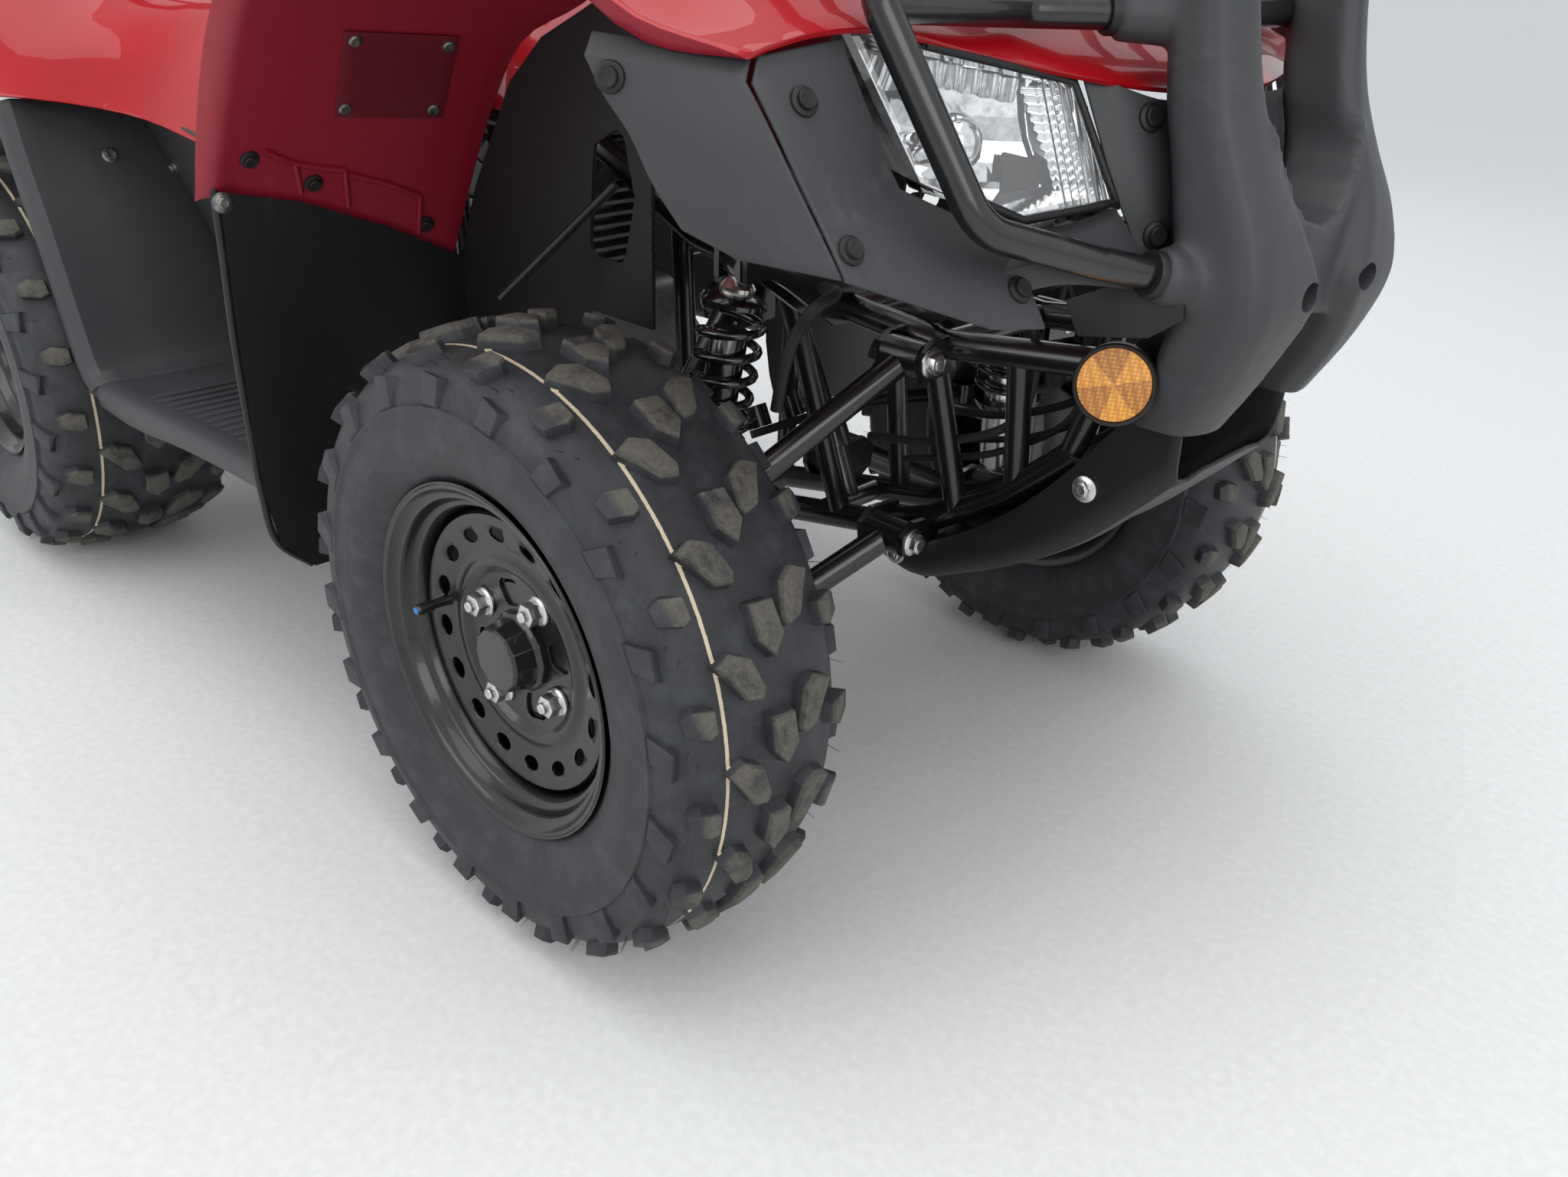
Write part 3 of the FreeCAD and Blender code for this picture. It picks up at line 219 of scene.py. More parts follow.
def platedMetal(name, colour, roughness):
    # plated steel with a fine brushed grain and a faint bloom
    finish = Finish(name, Metallic=1.0, Roughness=roughness)
    brushed = finish.noise(0.002, 3, 0.6)
    bloom = finish.noise(0.01, 4, 0.6)
    finish.feed(Base_Color=finish.mix(bloom.step(0.4, 0.8), colour, (0.45, 0.42, 0.37, 1)),
                Roughness=roughness + (brushed - 0.5) * 0.15,
                Normal=finish.bump(brushed, depth=0.00005, strength=0.4))
    return finish.material


def tyreRubber(name, hub, lineAt):
    # grey-black rubber with moulded rings on the wall, dusty lug tops and a painted line beside the middle
    finish = Finish(name, hub, Roughness=0.62, Specular_IOR_Level=0.35)
    x, y, z = finish.axes()
    radius = (x * x + z * z) ** 0.5
    side = y.unsigned()
    fine = finish.noise(0.0012, 3, 0.65)
    bloom = finish.noise(0.03, 5, 0.7)
    streak = finish.noise(0.004, 4, 0.7)
    top = (radius + side * 0.13).step(treadRadius + 0.0085, treadRadius + 0.0115)
    dusty = top * bloom.step(0.30, 0.52) * (0.5 + streak.step(0.3, 0.62) * 0.5)
    rubber = finish.mix(bloom.step(0.4, 0.75) * 0.55, (0.023, 0.0245, 0.027, 1), (0.062, 0.065, 0.072, 1))
    worn = finish.mix(dusty * 0.75, rubber, (0.135, 0.122, 0.098, 1))
    wobble = (streak - 0.5) * 0.0012
    line = (y - lineAt + wobble).unsigned() < 0.0016
    onCarcass = radius < treadRadius - 0.002
    painted = finish.mix(line * onCarcass * 0.92, worn, (0.62, 0.52, 0.36, 1))
    rings = finish.add("ShaderNodeTexWave", {"wave_type": "RINGS", "rings_direction": "Y"},
                       {"Vector": finish.spot, "Scale": 34.0, "Distortion": 0.0})
    onWall = radius.step(0.172, 0.178) * (1 - radius.step(0.214, 0.222))
    height = (fine * 0.25 + streak * 0.3) * (1 - top * 0.75) + rings * onWall * 0.25
    finish.feed(Base_Color=painted, Roughness=0.46 + dusty * 0.35 + bloom * 0.12,
                Normal=finish.bump(height, depth=0.0006, strength=0.6))
    return finish.material


def clearLens(name):
    # polycarbonate with fine vertical flutes near the inner end
    finish = Finish(name, Roughness=0.03, IOR=1.45, Transmission_Weight=0.96, Coat_Weight=0.6,
                    Base_Color=(0.97, 0.985, 1.0, 1))
    _, y, _ = finish.axes()
    flute = (y * 900).sine()
    near = y.unsigned()
    band = (1 - near.step(0.175, 0.19)) * near.step(0.148, 0.155)
    finish.feed(Normal=finish.bump(flute * band, depth=0.0006, strength=0.8))
    return finish.material


def vinyl(name):
    # pebbled seat cover
    finish = Finish(name, Roughness=0.48, Specular_IOR_Level=0.45)
    pebble = finish.cells(0.0022)
    crease = finish.cells(0.0022, "DISTANCE_TO_EDGE")
    cloud = finish.noise(0.12, 4, 0.6)
    relief = crease.step(0.0, 0.12) * 0.6 + pebble * 0.3
    shade = finish.mix(cloud.step(0.4, 0.75) * 0.5, (0.018, 0.018, 0.019, 1), (0.036, 0.036, 0.038, 1))
    finish.feed(Base_Color=shade, Roughness=0.46 + cloud * 0.12,
                Normal=finish.bump(relief, depth=0.0004, strength=0.7))
    return finish.material


redGloss = glossPlastic("redGloss", (0.40, 0.0022, 0.0075, 1), (0.33, 0.0016, 0.006, 1))
# the red mouldings' inner skin: the same red plastic, grained and matte, with its darker red a painted shade;
# the dust on it is real dust
redInsidePaintedShade = grained("redInsidePaintedShade", (0.235, 0.005, 0.017, 1), (0.28, 0.035, 0.042, 1), roughness=0.46,
                    grain=0.0012, depth=0.00008)
charcoal = grained("charcoal", (0.037, 0.0385, 0.041, 1), (0.072, 0.073, 0.076, 1), roughness=0.50)
black = grained("blackPlastic", (0.007, 0.007, 0.0075, 1), (0.026, 0.025, 0.024, 1), roughness=0.48,
                grain=0.0014)
frameBlack = paintedMetal("frameBlack", (0.005, 0.005, 0.006, 1), roughness=0.32, coatWeight=0.45)
rimBlack = paintedMetal("rimBlack", (0.0028, 0.0028, 0.003, 1), roughness=0.30, coatWeight=0.3,
                        wear=(0.03, 0.03, 0.03, 1))
exhaustBlack = paintedMetal("exhaustBlack", (0.020, 0.020, 0.021, 1), roughness=0.5, coatWeight=0.0)
springBlack = paintedMetal("springBlack", (0.007, 0.007, 0.008, 1), roughness=0.2, coatWeight=0.9)
engineCast = castMetal("engineCast", (0.34, 0.34, 0.345, 1), (0.20, 0.195, 0.185, 1), roughness=0.5)
zinc = platedMetal("zinc", (0.66, 0.66, 0.65, 1), roughness=0.3)
chrome = platedMetal("lampChrome", (0.86, 0.87, 0.88, 1), roughness=0.07)
seatVinyl = vinyl("seatVinyl")
gripRubber = grained("gripRubber", (0.014, 0.014, 0.015, 1), (0.05, 0.05, 0.05, 1), roughness=0.66,
                     grain=0.0016, depth=0.0002)
frontRubber = tyreRubber("frontRubber", frontHub, lineAt=-0.0476)
frontRubberLeft = tyreRubber("frontRubberLeft", Vector((frontHub.x, -frontHub.y, frontHub.z)), lineAt=0.0476)
rearRubberRight = tyreRubber("rearRubberRight", rearHub - Vector((0, rearTrack, 0)), lineAt=-0.066)
rearRubberLeft = tyreRubber("rearRubberLeft", rearHub + Vector((0, rearTrack, 0)), lineAt=0.066)
lens = clearLens("lampLens")


def amberPrisms(name, bright, deep):
    # a reflector's small prisms, in square cells
    finish = Finish(name, Roughness=0.16, Coat_Weight=1.0, Coat_Roughness=0.04, Specular_IOR_Level=0.6)
    grid = finish.cells(0.0030, scatter=0.0)
    finish.feed(Base_Color=finish.mix(grid.step(0.2, 0.6), bright, deep),
                Normal=finish.bump(grid, depth=0.0008, strength=0.9))
    return finish.material


def redLens(name):
    # the tail lamp's red lens, with upright flutes
    finish = Finish(name, Roughness=0.1, Coat_Weight=1.0, Base_Color=(0.45, 0.01, 0.012, 1))
    _, y, _ = finish.axes()
    flute = (y * 1200).sine()
    finish.feed(Normal=finish.bump(flute, depth=0.0006, strength=0.7))
    return finish.material


amber = amberPrisms("amber", (0.66, 0.26, 0.008, 1), (0.36, 0.115, 0.003, 1))
tailRed = redLens("tailRed")

# which finish each CAD node takes
dress = (
    (frameBlack, "frame_cradle frame_front frame_rear lower_arms upper_arms swingarm bumper_tube front_rack "
                 "rear_rack steering_shaft handlebar tie_rod_right tie_rod_left"),
    (engineCast, "engine_case engine_cylinder knuckle_right knuckle_left"),
    (zinc, "rear_axle"),
    (exhaustBlack, "exhaust_pipe muffler"),
    (springBlack, "rear_shock front_shocks"),
    (rimBlack, "rim_front_right rim_front_left rear_rims"),
    (redGloss, "front_fender rear_fender tank_cover"),
    (charcoal, "front_cowl side_panels footwells bumper_cover dash_pod"),
    (black, "mud_guards skid_plate levers"),
    (chrome, "headlights"),
    (lens, "lamp_lenses"),
    (amber, "reflectors"),
    (tailRed, "tail_lamp"),
    (gripRubber, "grips"),
    (seatVinyl, "seat"),
    (frontRubber, "tyre_front_right"),
    (frontRubberLeft, "tyre_front_left"),
    (rearRubberRight, "rear_tyres"),
)
for material, names in dress:
    for name in names.split():
        nodes[name].data.materials.clear()
        nodes[name].data.materials.append(material)
print("finishes made")


# modelling tools
def pick(*pieces):
    if bpy.context.object and bpy.context.object.mode != "OBJECT":
        bpy.ops.object.mode_set(mode="OBJECT")
    bpy.ops.object.select_all(action="DESELECT")
    for piece in pieces:
        piece.select_set(True)
    if pieces:
        bpy.context.view_layer.objects.active = pieces[0]


def choose(piece, kind, test):
    # opens the piece in edit mode with just what passes the test selected
    pick(piece)
    bpy.ops.object.mode_set(mode="EDIT")
    bpy.ops.mesh.select_mode(type=kind)
    bpy.ops.mesh.select_all(action="DESELECT")
    bpy.ops.object.mode_set(mode="OBJECT")
    mesh = piece.data
    if kind == "FACE":
        for face in mesh.polygons:
            face.select = bool(test(face.center, face.normal))
    elif kind == "EDGE":
        for edge in mesh.edges:
            edge.select = bool(test(*[mesh.vertices[i].co for i in edge.vertices]))
    else:
        for point in mesh.vertices:
            point.select = bool(test(point.co))
    bpy.ops.object.mode_set(mode="EDIT")


def done():
    bpy.ops.object.mode_set(mode="OBJECT")


def settle(piece):
    # puts the place, turn and scale into the mesh
    pick(piece)
    bpy.ops.object.transform_apply(location=True, rotation=True, scale=True)
    return piece


def together(pieces, name):
    pick(*pieces)
    if len(pieces) > 1:
        bpy.ops.object.join()
    piece = bpy.context.object
    piece.name = name
    return settle(piece)


def everyFace(piece):
    choose(piece, "FACE", lambda centre, normal: True)


def turnedOver(piece):
    # turns every face round
    everyFace(piece)
    bpy.ops.mesh.flip_normals()
    done()


mirror = Matrix.Scale(-1, 4, (0, 1, 0))
flips = (Vector((1, 1, 1)), Vector((1, -1, 1)))


def copied(piece, matrix, flipped=False):
    pick(piece)
    bpy.ops.object.duplicate(linked=False)
    twin = bpy.context.object
    twin.data.transform(matrix)
    if flipped:
        turnedOver(twin)
    return twin


def bothSides(piece, name):
    return together([piece, copied(piece, mirror, flipped=True)], name)


def outwards(piece):
    everyFace(piece)
    bpy.ops.mesh.remove_doubles(threshold=0.00002)
    bpy.ops.mesh.normals_make_consistent(inside=False)
    done()


def smooth(piece, angle=35.0):
    pick(piece)
    bpy.ops.object.shade_smooth_by_angle(angle=math.radians(angle))


def modify(piece, kind, **settings):
    pick(piece)
    made = piece.modifiers.new(kind.title(), kind)
    for key, value in settings.items():
        setattr(made, key, value)
    bpy.ops.object.modifier_apply(modifier=made.name)


def bevelled(piece, width, segments, angle):
    # rounds the edges that turn by more than an angle in degrees
    modify(piece, "BEVEL", width=width, segments=segments, limit_method="ANGLE",
           angle_limit=math.radians(angle))


def gone(piece):
    bpy.data.objects.remove(piece, do_unlink=True)


def stretched(line, steps, sharp=()):
    # places along a smooth line through the given ones, which turns a corner at the sharp ones; None is a gap
    last = len(line) - 1

    def slope(i, leaving):
        before = None if i == 0 or line[i - 1] is None else line[i] - line[i - 1]
        after = None if i == last or line[i + 1] is None else line[i + 1] - line[i]
        if before is None or (i in sharp and leaving and after is not None):
            return after / max(after.length, 1e-6)
        if after is None or i in sharp:
            return before / max(before.length, 1e-6)
        a, b = max(before.length, 1e-6), max(after.length, 1e-6)
        return (before / a * b + after / b * a) / (a + b)

    made = []
    for i in range(last):
        a, b = line[i], line[i + 1]
        for k in range(steps):
            t = k / steps
            if a is None or b is None:
                made.append(a if k == 0 else None)
                continue
            reach = (b - a).length
            start, end = slope(i, True) * reach, slope(i + 1, False) * reach
            made.append(a * (2 * t ** 3 - 3 * t ** 2 + 1) + start * (t ** 3 - 2 * t ** 2 + t)
                        + b * (3 * t ** 2 - 2 * t ** 3) + end * (t ** 3 - t ** 2))
    return made + [line[-1]]


def added(kind, name, **settings):
    # a new mesh primitive
    getattr(bpy.ops.mesh, "primitive_" + kind + "_add")(**settings)
    piece = bpy.context.object
    piece.name = name
    return piece


def outlined(name, places, filled=False):
    # a closed outline through places, open or filled with one face
    piece = added("circle", name, vertices=len(places), radius=0.1, fill_type="NGON" if filled else "NOTHING")
    for point, place in zip(piece.data.vertices, places):
        point.co = place
    return piece


def spun(piece, steps, axis):
    # turns an outline all the way round an axis
    choose(piece, "VERT", lambda place: True)
    bpy.ops.mesh.spin(steps=steps, angle=math.tau, center=(0, 0, 0), axis=axis)
    done()
    outwards(piece)


def sheetOf(name, rows):
    # a grid laid on rows of places; the points of a gap wait far below
    piece = added("grid", name, x_subdivisions=len(rows[0]) - 1, y_subdivisions=len(rows) - 1, size=1)
    for point, place in zip(piece.data.vertices, [place for row in rows for place in row]):
        point.co = (0, 0, -9) if place is None else place
    return piece


def tubeOf(name, rings):
    # a closed skin over rings of places, each of which ends where it starts
    piece = sheetOf(name, rings)
    outwards(piece)
    choose(piece, "EDGE", lambda a, b: False)
    bpy.ops.mesh.select_non_manifold()
    bpy.ops.mesh.edge_face_add()
    done()
    outwards(piece)
    return piece


def moulding(name, rows, thick, steps=(3, 3), sharp=((), ()), facing=(0, 0, 1), edge=0.0012, angle=30.0,
             skins=()):
    # a smooth moulded wall through rows of places, with its thickness, round edges, and an outer and inner
    # skin
    rows = [stretched(row, steps[1], sharp[1]) for row in rows]
    columns = [stretched(list(column), steps[0], sharp[0]) for column in zip(*rows)]
    piece = sheetOf(name, list(zip(*columns)))
    if any(place is None for column in columns for place in column):
        choose(piece, "VERT", lambda place: place.z < -8)
        bpy.ops.mesh.delete(type="VERT")
        done()
    outwards(piece)
    total = sum((face.normal * face.area for face in piece.data.polygons), Vector())
    if total.dot(Vector(facing)) < 0:
        turnedOver(piece)
    for material in skins:
        piece.data.materials.append(material)
    modify(piece, "SOLIDIFY", thickness=thick, offset=-1.0, material_offset=1, material_offset_rim=0,
           use_even_offset=True)
    if edge:
        bevelled(piece, edge, segments=2, angle=60)
    smooth(piece, angle)
    return piece


def lathe(name, profile, steps=32, angle=35.0):
    # an outline of (radius, height) turned about Z; it is closed from its last place to its first
    piece = outlined(name, [(radius, 0, height) for radius, height in profile])
    spun(piece, steps, axis=(0, 0, 1))
    smooth(piece, angle)
    return piece


def moved(piece, place):
    piece.data.transform(Matrix.Translation(place))
    return piece


def aimed(piece, place, direction, turn=0.0):
    # lays a piece built up along Z at a place, pointing along a direction
    pose = Vector(direction).to_track_quat("Z", "Y").to_matrix().to_4x4()
    piece.data.transform(Matrix.Translation(place) @ pose @ Matrix.Rotation(turn, 4, "Z"))
    return piece


def prismOf(name, outline, height, bevel=0.0):
    # a flat outline in X and Y raised along Z, with its top and bottom edges rounded
    piece = outlined(name, [(x, y, 0) for x, y in outline], filled=True)
    everyFace(piece)
    bpy.ops.mesh.extrude_region_move(TRANSFORM_OT_translate={"value": (0, 0, height)})
    done()
    outwards(piece)
    if bevel:
        bevelled(piece, bevel, segments=2, angle=50)
    smooth(piece, 35)
    return piece


def hexagon(radius):
    return [(radius * math.cos(math.tau * k / 6), radius * math.sin(math.tau * k / 6)) for k in range(6)]


def hose(name, places, radius, steps=6, sides=12):
    # a round hose through places, with rings of points square to its path
    path = stretched([Vector(p) for p in places], steps)
    side = Vector((0, 0, 1)).cross(path[1] - path[0])
    side = (side if side.length > 1e-5 else Vector((0, 1, 0))).normalized()
    turns = [math.tau * k / sides for k in range(sides + 1)]
    rings = []
    for i, middle in enumerate(path):
        along = (path[min(i + 1, len(path) - 1)] - path[max(i - 1, 0)]).normalized()
        side = (side - along * side.dot(along)).normalized()
        other = along.cross(side)
        rings.append([middle + (side * math.cos(turn) + other * math.sin(turn)) * radius for turn in turns])
    piece = tubeOf(name, rings)
    smooth(piece, 50)
    return piece


def tower(name, rings, steps):
    # a closed smooth skin up through rings of places
    lines = [stretched(list(column), steps) for column in zip(*rings)]
    return tubeOf(name, [[*row, row[0]] for row in zip(*lines)])


def struck(piece, origin, direction):
    # where a line meets a piece, and the way the surface faces there; None for both where it misses
    hit, place, normal, _ = piece.ray_cast(Vector(origin), Vector(direction).normalized())
    if not hit:
        return None, None
    return place, normal if normal.dot(Vector(direction)) < 0 else -normal


def finished(piece, body, material, *stands, slot):
    # puts a piece on its body, in its material or, for None, in the ones it has
    if material:
        piece.data.materials.clear()
        piece.data.materials.append(material)
    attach(piece, body)
    if stands:
        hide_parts(*stands)


def fixed(piece, material, *stands, slot):
    # the same, on the main body
    finished(piece, "chassis", material, *stands, slot=slot)


def paired(parts, name, material, *stands, slot):
    # parts of the main body and their twins on the other side, as one finished piece
    fixed(bothSides(together(parts, name), name), material, *stands, slot=slot)


# tyres
tyreLook = {
    "pitches": 20,
    "lug height": 0.013,
    "front": {"half width": 0.089, "flange": 0.157, "spread": 1.0},
    "rear": {"half width": 0.127, "flange": 0.131, "spread": 1.36},
    # columns: share of the half width, share of the wall's height above the rim's flange
    "wall": ((0.79, 0.0), (0.835, 0.045), (0.918, 0.13), (0.978, 0.29), (1.0, 0.44), (0.988, 0.552),
             (1.0, 0.568), (0.998, 0.597), (0.968, 0.612), (0.962, 0.66), (0.945, 0.76), (0.885, 0.85),
             (0.775, 0.92), (0.58, 0.965), (0.30, 0.991), (0.0, 1.0)),
    # columns: along the tread as a share of a pitch, height, then the top's corners as millimetres across
    # and along
    "both sides": (
        (0.00, 0.0130, ((51, 13), (37, 19), (24, 12), (15.5, -12), (19, -19), (31, -16), (40, -2))),
        (0.26, 0.0115, ((80, 8), (71, 12), (58, 7), (57.5, -9), (64, -12.5), (78, -7))),
        (0.60, 0.0085, ((85, 6), (88, -18), (109, -9), (109, 16))),
    ),
    "middle": ((0.67, 0.0130, ((-11, 19), (8.5, 17.5), (11, -8), (0, -21), (-10.5, -8))),),
    # places: across as a share of the half width, along as a share of a pitch
    "hair": {"length": 0.011, "radius": 0.00045, "lean": (0.25, 0.3, 0), "spread": 1.16,
             "places": ((0.66, 0.10), (-0.70, 0.30), (0.76, 0.65), (-0.62, 0.85), (-0.76, 0.45))},
}


def tyreWall(which):
    size = tyreLook[which]
    height = treadRadius - size["flange"]
    return [(share * size["half width"], size["flange"] + up * height) for share, up in tyreLook["wall"]]


def carcass(which):
    outer = tyreWall(which)
    inner = [(y * 0.88, r - 0.010) for y, r in outer if r > tyreLook[which]["flange"] + 0.001]
    bead = [(outer[0][0] - 0.010, outer[0][1] - 0.012)]
    ring = [(-y, r) for y, r in outer] + [(y, r) for y, r in reversed(outer[:-1])]
    ring += bead + inner + [(-y, r) for y, r in reversed(inner[:-1])] + [(-y, r) for y, r in bead]
    piece = outlined("carcass", [(0, y, r) for y, r in ring])
    spun(piece, steps=100, axis=(0, 1, 0))
    smooth(piece, 50)
    return piece


def flatLug(outline, height, spread):
    # one lug on a flat tread: X along it, Y across, Z out; its foot is a little wider than its top
    sink, footGrowth, topShare, rounding = 0.006, 1.22, 0.80, 0.0011
    places = [Vector((-along / 1000, across * spread / 1000, -sink)) for across, along in outline]
    middle = sum(places, Vector()) / len(places)
    lug = outlined("lug", [middle + (place - middle) * footGrowth for place in places], filled=True)
    everyFace(lug)
    bpy.ops.mesh.extrude_region_move(TRANSFORM_OT_translate={"value": (0, 0, height + sink)})
    bpy.ops.transform.resize(value=(topShare, topShare, 1), center_override=(middle.x, middle.y, height))
    done()
    outwards(lug)
    choose(lug, "EDGE", lambda a, b: min(a.z, b.z) > height - 0.0005)
    bpy.ops.mesh.bevel(offset=rounding, segments=2, affect="EDGES")
    done()
    return lug


def flatHair(across, along):
    # a mould hair on the flat tread
    hair = tyreLook["hair"]
    piece = added("cone", "hair", vertices=3, radius1=hair["radius"], radius2=hair["radius"] * 0.5,
                  depth=hair["length"] + 0.002)
    piece.rotation_euler = hair["lean"]
    piece.location = (-along, across, hair["length"] / 2 - 0.001)
    return settle(piece)


def wrapped(which, piece, length):
    # bends a flat tread round the tyre: X becomes the way round, and Y the way across and down the shoulder
    wall = list(reversed(tyreWall(which)))
    spans = [math.dist(a, b) for a, b in zip(wall, wall[1:])]
    top = treadRadius + tyreLook["lug height"] - 0.0002
    for point in piece.data.vertices:
        turn = point.co.x / length * math.tau
        reach, out, side = abs(point.co.y), point.co.z, 1 if point.co.y >= 0 else -1
        k = 0
        while k < len(spans) - 1 and reach > spans[k]:
            reach -= spans[k]
            k += 1
        (y0, r0), (y1, r1) = wall[k], wall[k + 1]
        share = reach / spans[k]
        across, down = (y1 - y0) / spans[k], (r1 - r0) / spans[k]
        y = min(y0 + (y1 - y0) * share - down * out, tyreLook[which]["half width"])
        r = min(r0 + (r1 - r0) * share + across * out, top)
        point.co = (-r * math.sin(turn), side * y, -r * math.cos(turn))


def tyre(which):
    size = tyreLook[which]
    pitch = 1.0 / tyreLook["pitches"]
    length = math.tau * treadRadius
    lugs = []
    kinds = [(row, side) for row in tyreLook["both sides"] for side in (1, -1)]
    for (phase, height, outline), side in kinds + [(row, 0) for row in tyreLook["middle"]]:
        lug = flatLug(outline, height, size["spread"])
        moved(lug, ((phase + (0.5 if side > 0 else 0.0)) * pitch * length, 0, 0))
        if side < 0:
            lug.data.transform(mirror)
        lugs.append(lug)
    for across, along in tyreLook["hair"]["places"]:
        lugs.append(flatHair(across * size["half width"] * tyreLook["hair"]["spread"],
                             along * pitch * length))
    tread = together(lugs, "tread")
    modify(tread, "ARRAY", count=tyreLook["pitches"], use_relative_offset=False, use_constant_offset=True,
           constant_offset_displace=(length * pitch, 0, 0))
    wrapped(which, tread, length)
    outwards(tread)
    smooth(tread, 30)
    return together([carcass(which), tread], which + "Tyre")


wheels = {"front": (Vector((frontHub.x, 0, frontHub.z)), -frontHub.y), "rear": (rearHub, rearTrack)}


def bothWheels(piece, which, name):
    # lays a piece made about the origin at the right wheel and its twin at the left one; gives them with
    # their bodies
    hub, track = wheels[which]
    left = copied(piece, Matrix.Translation(hub + Vector((0, track, 0))) @ mirror, flipped=True)
    moved(piece, hub - Vector((0, track, 0)))
    left.name, piece.name = name + "Left", name + "Right"
    bodies = ("front_wheel_right", "front_wheel_left") if which == "front" else ("rear_axle", "rear_axle")
    return zip((piece, left), bodies)


def wheelNodes(kind, which):
    # the CAD nodes that the right and the left piece stand for; the rear ones are one node
    if which == "front":
        return ((kind + "_front_right",), (kind + "_front_left",))
    return (("rear_" + kind + "s",), ())


def makeTyres():
    rubbers = {"front": (frontRubber, frontRubberLeft), "rear": (rearRubberRight, rearRubberLeft)}
    pieces = {which: tyre(which) for which in wheels}
    for which, piece in pieces.items():
        pair = bothWheels(piece, which, which + "Tyre")
        for (one, body), rubber, stands in zip(pair, rubbers[which], wheelNodes("tyre", which)):
            finished(one, body, rubber, *stands, slot="tyre")
    print("tyres made")


makeTyres()


# the camera that the photograph was taken with
cameraLook = {
    "place": (1.32108, -0.98168, 0.83364), "azimuth": 42.832, "elevation": 26.996, "roll": 2.409,
    "focal length in pixels": 1682.1, "picture width": 2048, "sensor": 36.0,
}


def cameraAxes():
    a, e, roll = [math.radians(cameraLook[key]) for key in ("azimuth", "elevation", "roll")]
    back = Vector((math.sin(a) * math.cos(e), -math.cos(a) * math.cos(e), math.sin(e)))
    right = Vector((0, 0, 1)).cross(back).normalized()
    up = back.cross(right)
    return right * math.cos(roll) + up * math.sin(roll), up * math.cos(roll) - right * math.sin(roll), back


seenWide, seenHigh = 2000, 1501  # the picture that places seen by the camera are given in


def seen(piece, across, down):
    # where the camera sees a piece, and the way its surface faces there
    right, up, back = cameraAxes()
    reach = cameraLook["focal length in pixels"] * seenWide / cameraLook["picture width"]
    return struck(piece, cameraLook["place"],
                  right * (across - seenWide / 2) / reach - up * (down - seenHigh / 2) / reach - back)


def proudOf(piece, across, down, proud=0.0):
    # the same place, lifted off the surface; None where the camera doesn't see the piece
    place, normal = seen(piece, across, down)
    return place and place + normal * proud


# wheels
rimLook = {
    # columns: radius, place along the axle from the wheel's middle, outboard first
    "front": {
        "barrel": ((0.1570, -0.0752), (0.1548, -0.0770), (0.1520, -0.0762), (0.1494, -0.0722),
                   (0.1456, -0.0692), (0.1424, -0.0686), (0.1404, -0.0655), (0.1396, -0.0600),
                   (0.1368, -0.0572), (0.1334, -0.0564),
                   (0.1310, -0.0530), (0.1296, -0.0440), (0.1284, -0.0300), (0.1270, 0.0250),
                   (0.1350, 0.0420), (0.1378, 0.0640), (0.1535, 0.0742), (0.1570, 0.0742)),
        "disc": ((0.0300, -0.0385), (0.0680, -0.0385), (0.0725, -0.0405), (0.0765, -0.0448),
                 (0.0805, -0.0460), (0.0850, -0.0446), (0.0900, -0.0426), (0.0950, -0.0436), (0.1180, -0.0500),
                 (0.1240, -0.0500), (0.1300, -0.0410)),
        "holes": 16, "hole ring": 0.1060, "hole": (0.0205, 0.0125), "hole depth": -0.0470,
        "nut seat": -0.0385,
        "turns": {"nuts": 30, "windows": -15, "holes": 14.5},
        "drum": ((0.0125, -0.0355), (0.0600, -0.0355), (0.0600, -0.0110), (0.0760, -0.0050), (0.0820, 0.0010),
                 (0.0820, 0.0440), (0.0770, 0.0440), (0.0770, 0.0030), (0.0400, 0.0010), (0.0320, 0.0340),
                 (0.0125, 0.0340)),
        "cap": ((0, -0.0380), (0.0365, -0.0380), (0.0365, -0.0430), (0.0325, -0.0460), (0.0292, -0.0640),
                (0.0272, -0.0668), (0, -0.0672)),
        "valve": (-0.1010, -0.012),
    },
    "rear": {
        "barrel": ((0.1310, -0.1080), (0.1288, -0.1094), (0.1258, -0.1080), (0.1232, -0.1040),
                   (0.1190, -0.0992), (0.1152, -0.0965), (0.1132, -0.0920), (0.1128, -0.0800),
                   (0.1090, -0.0740), (0.1010, -0.0705),
                   (0.0968, -0.0645), (0.0942, -0.0540), (0.0938, 0.0600), (0.1110, 0.0760), (0.1130, 0.0960),
                   (0.1285, 0.1070), (0.1310, 0.1070)),
        "disc": ((0.0180, -0.0260), (0.0660, -0.0260), (0.0705, -0.0290), (0.0750, -0.0295),
                 (0.0800, -0.0262), (0.0880, -0.0160), (0.0944, -0.0130)),
        "holes": 12, "hole ring": 0.0835, "hole": (0.0150, 0.0085), "hole depth": -0.0215,
        "nut seat": -0.0260,
        "drum": ((0.0160, -0.0230), (0.0620, -0.0230), (0.0620, -0.0140), (0.0340, -0.0060), (0.0300, 0.0480),
                 (0.0160, 0.0480)),
        "cap": ((0, -0.0255), (0.0240, -0.0255), (0.0240, -0.0300), (0.0205, -0.0340), (0.0190, -0.0460),
                (0.0172, -0.0480), (0, -0.0482)),
        "valve": (-0.0800, -0.014),
        "turns": {"nuts": 45, "windows": 0, "holes": 15},
    },
    "sheet": 0.0030, "stud ring": 0.057, "nut": {"radius": 0.0106, "height": 0.0150, "washer": 0.0132,
                                                 "stud": 0.0052},
}
upright = Matrix.Rotation(math.radians(-90), 4, "X")


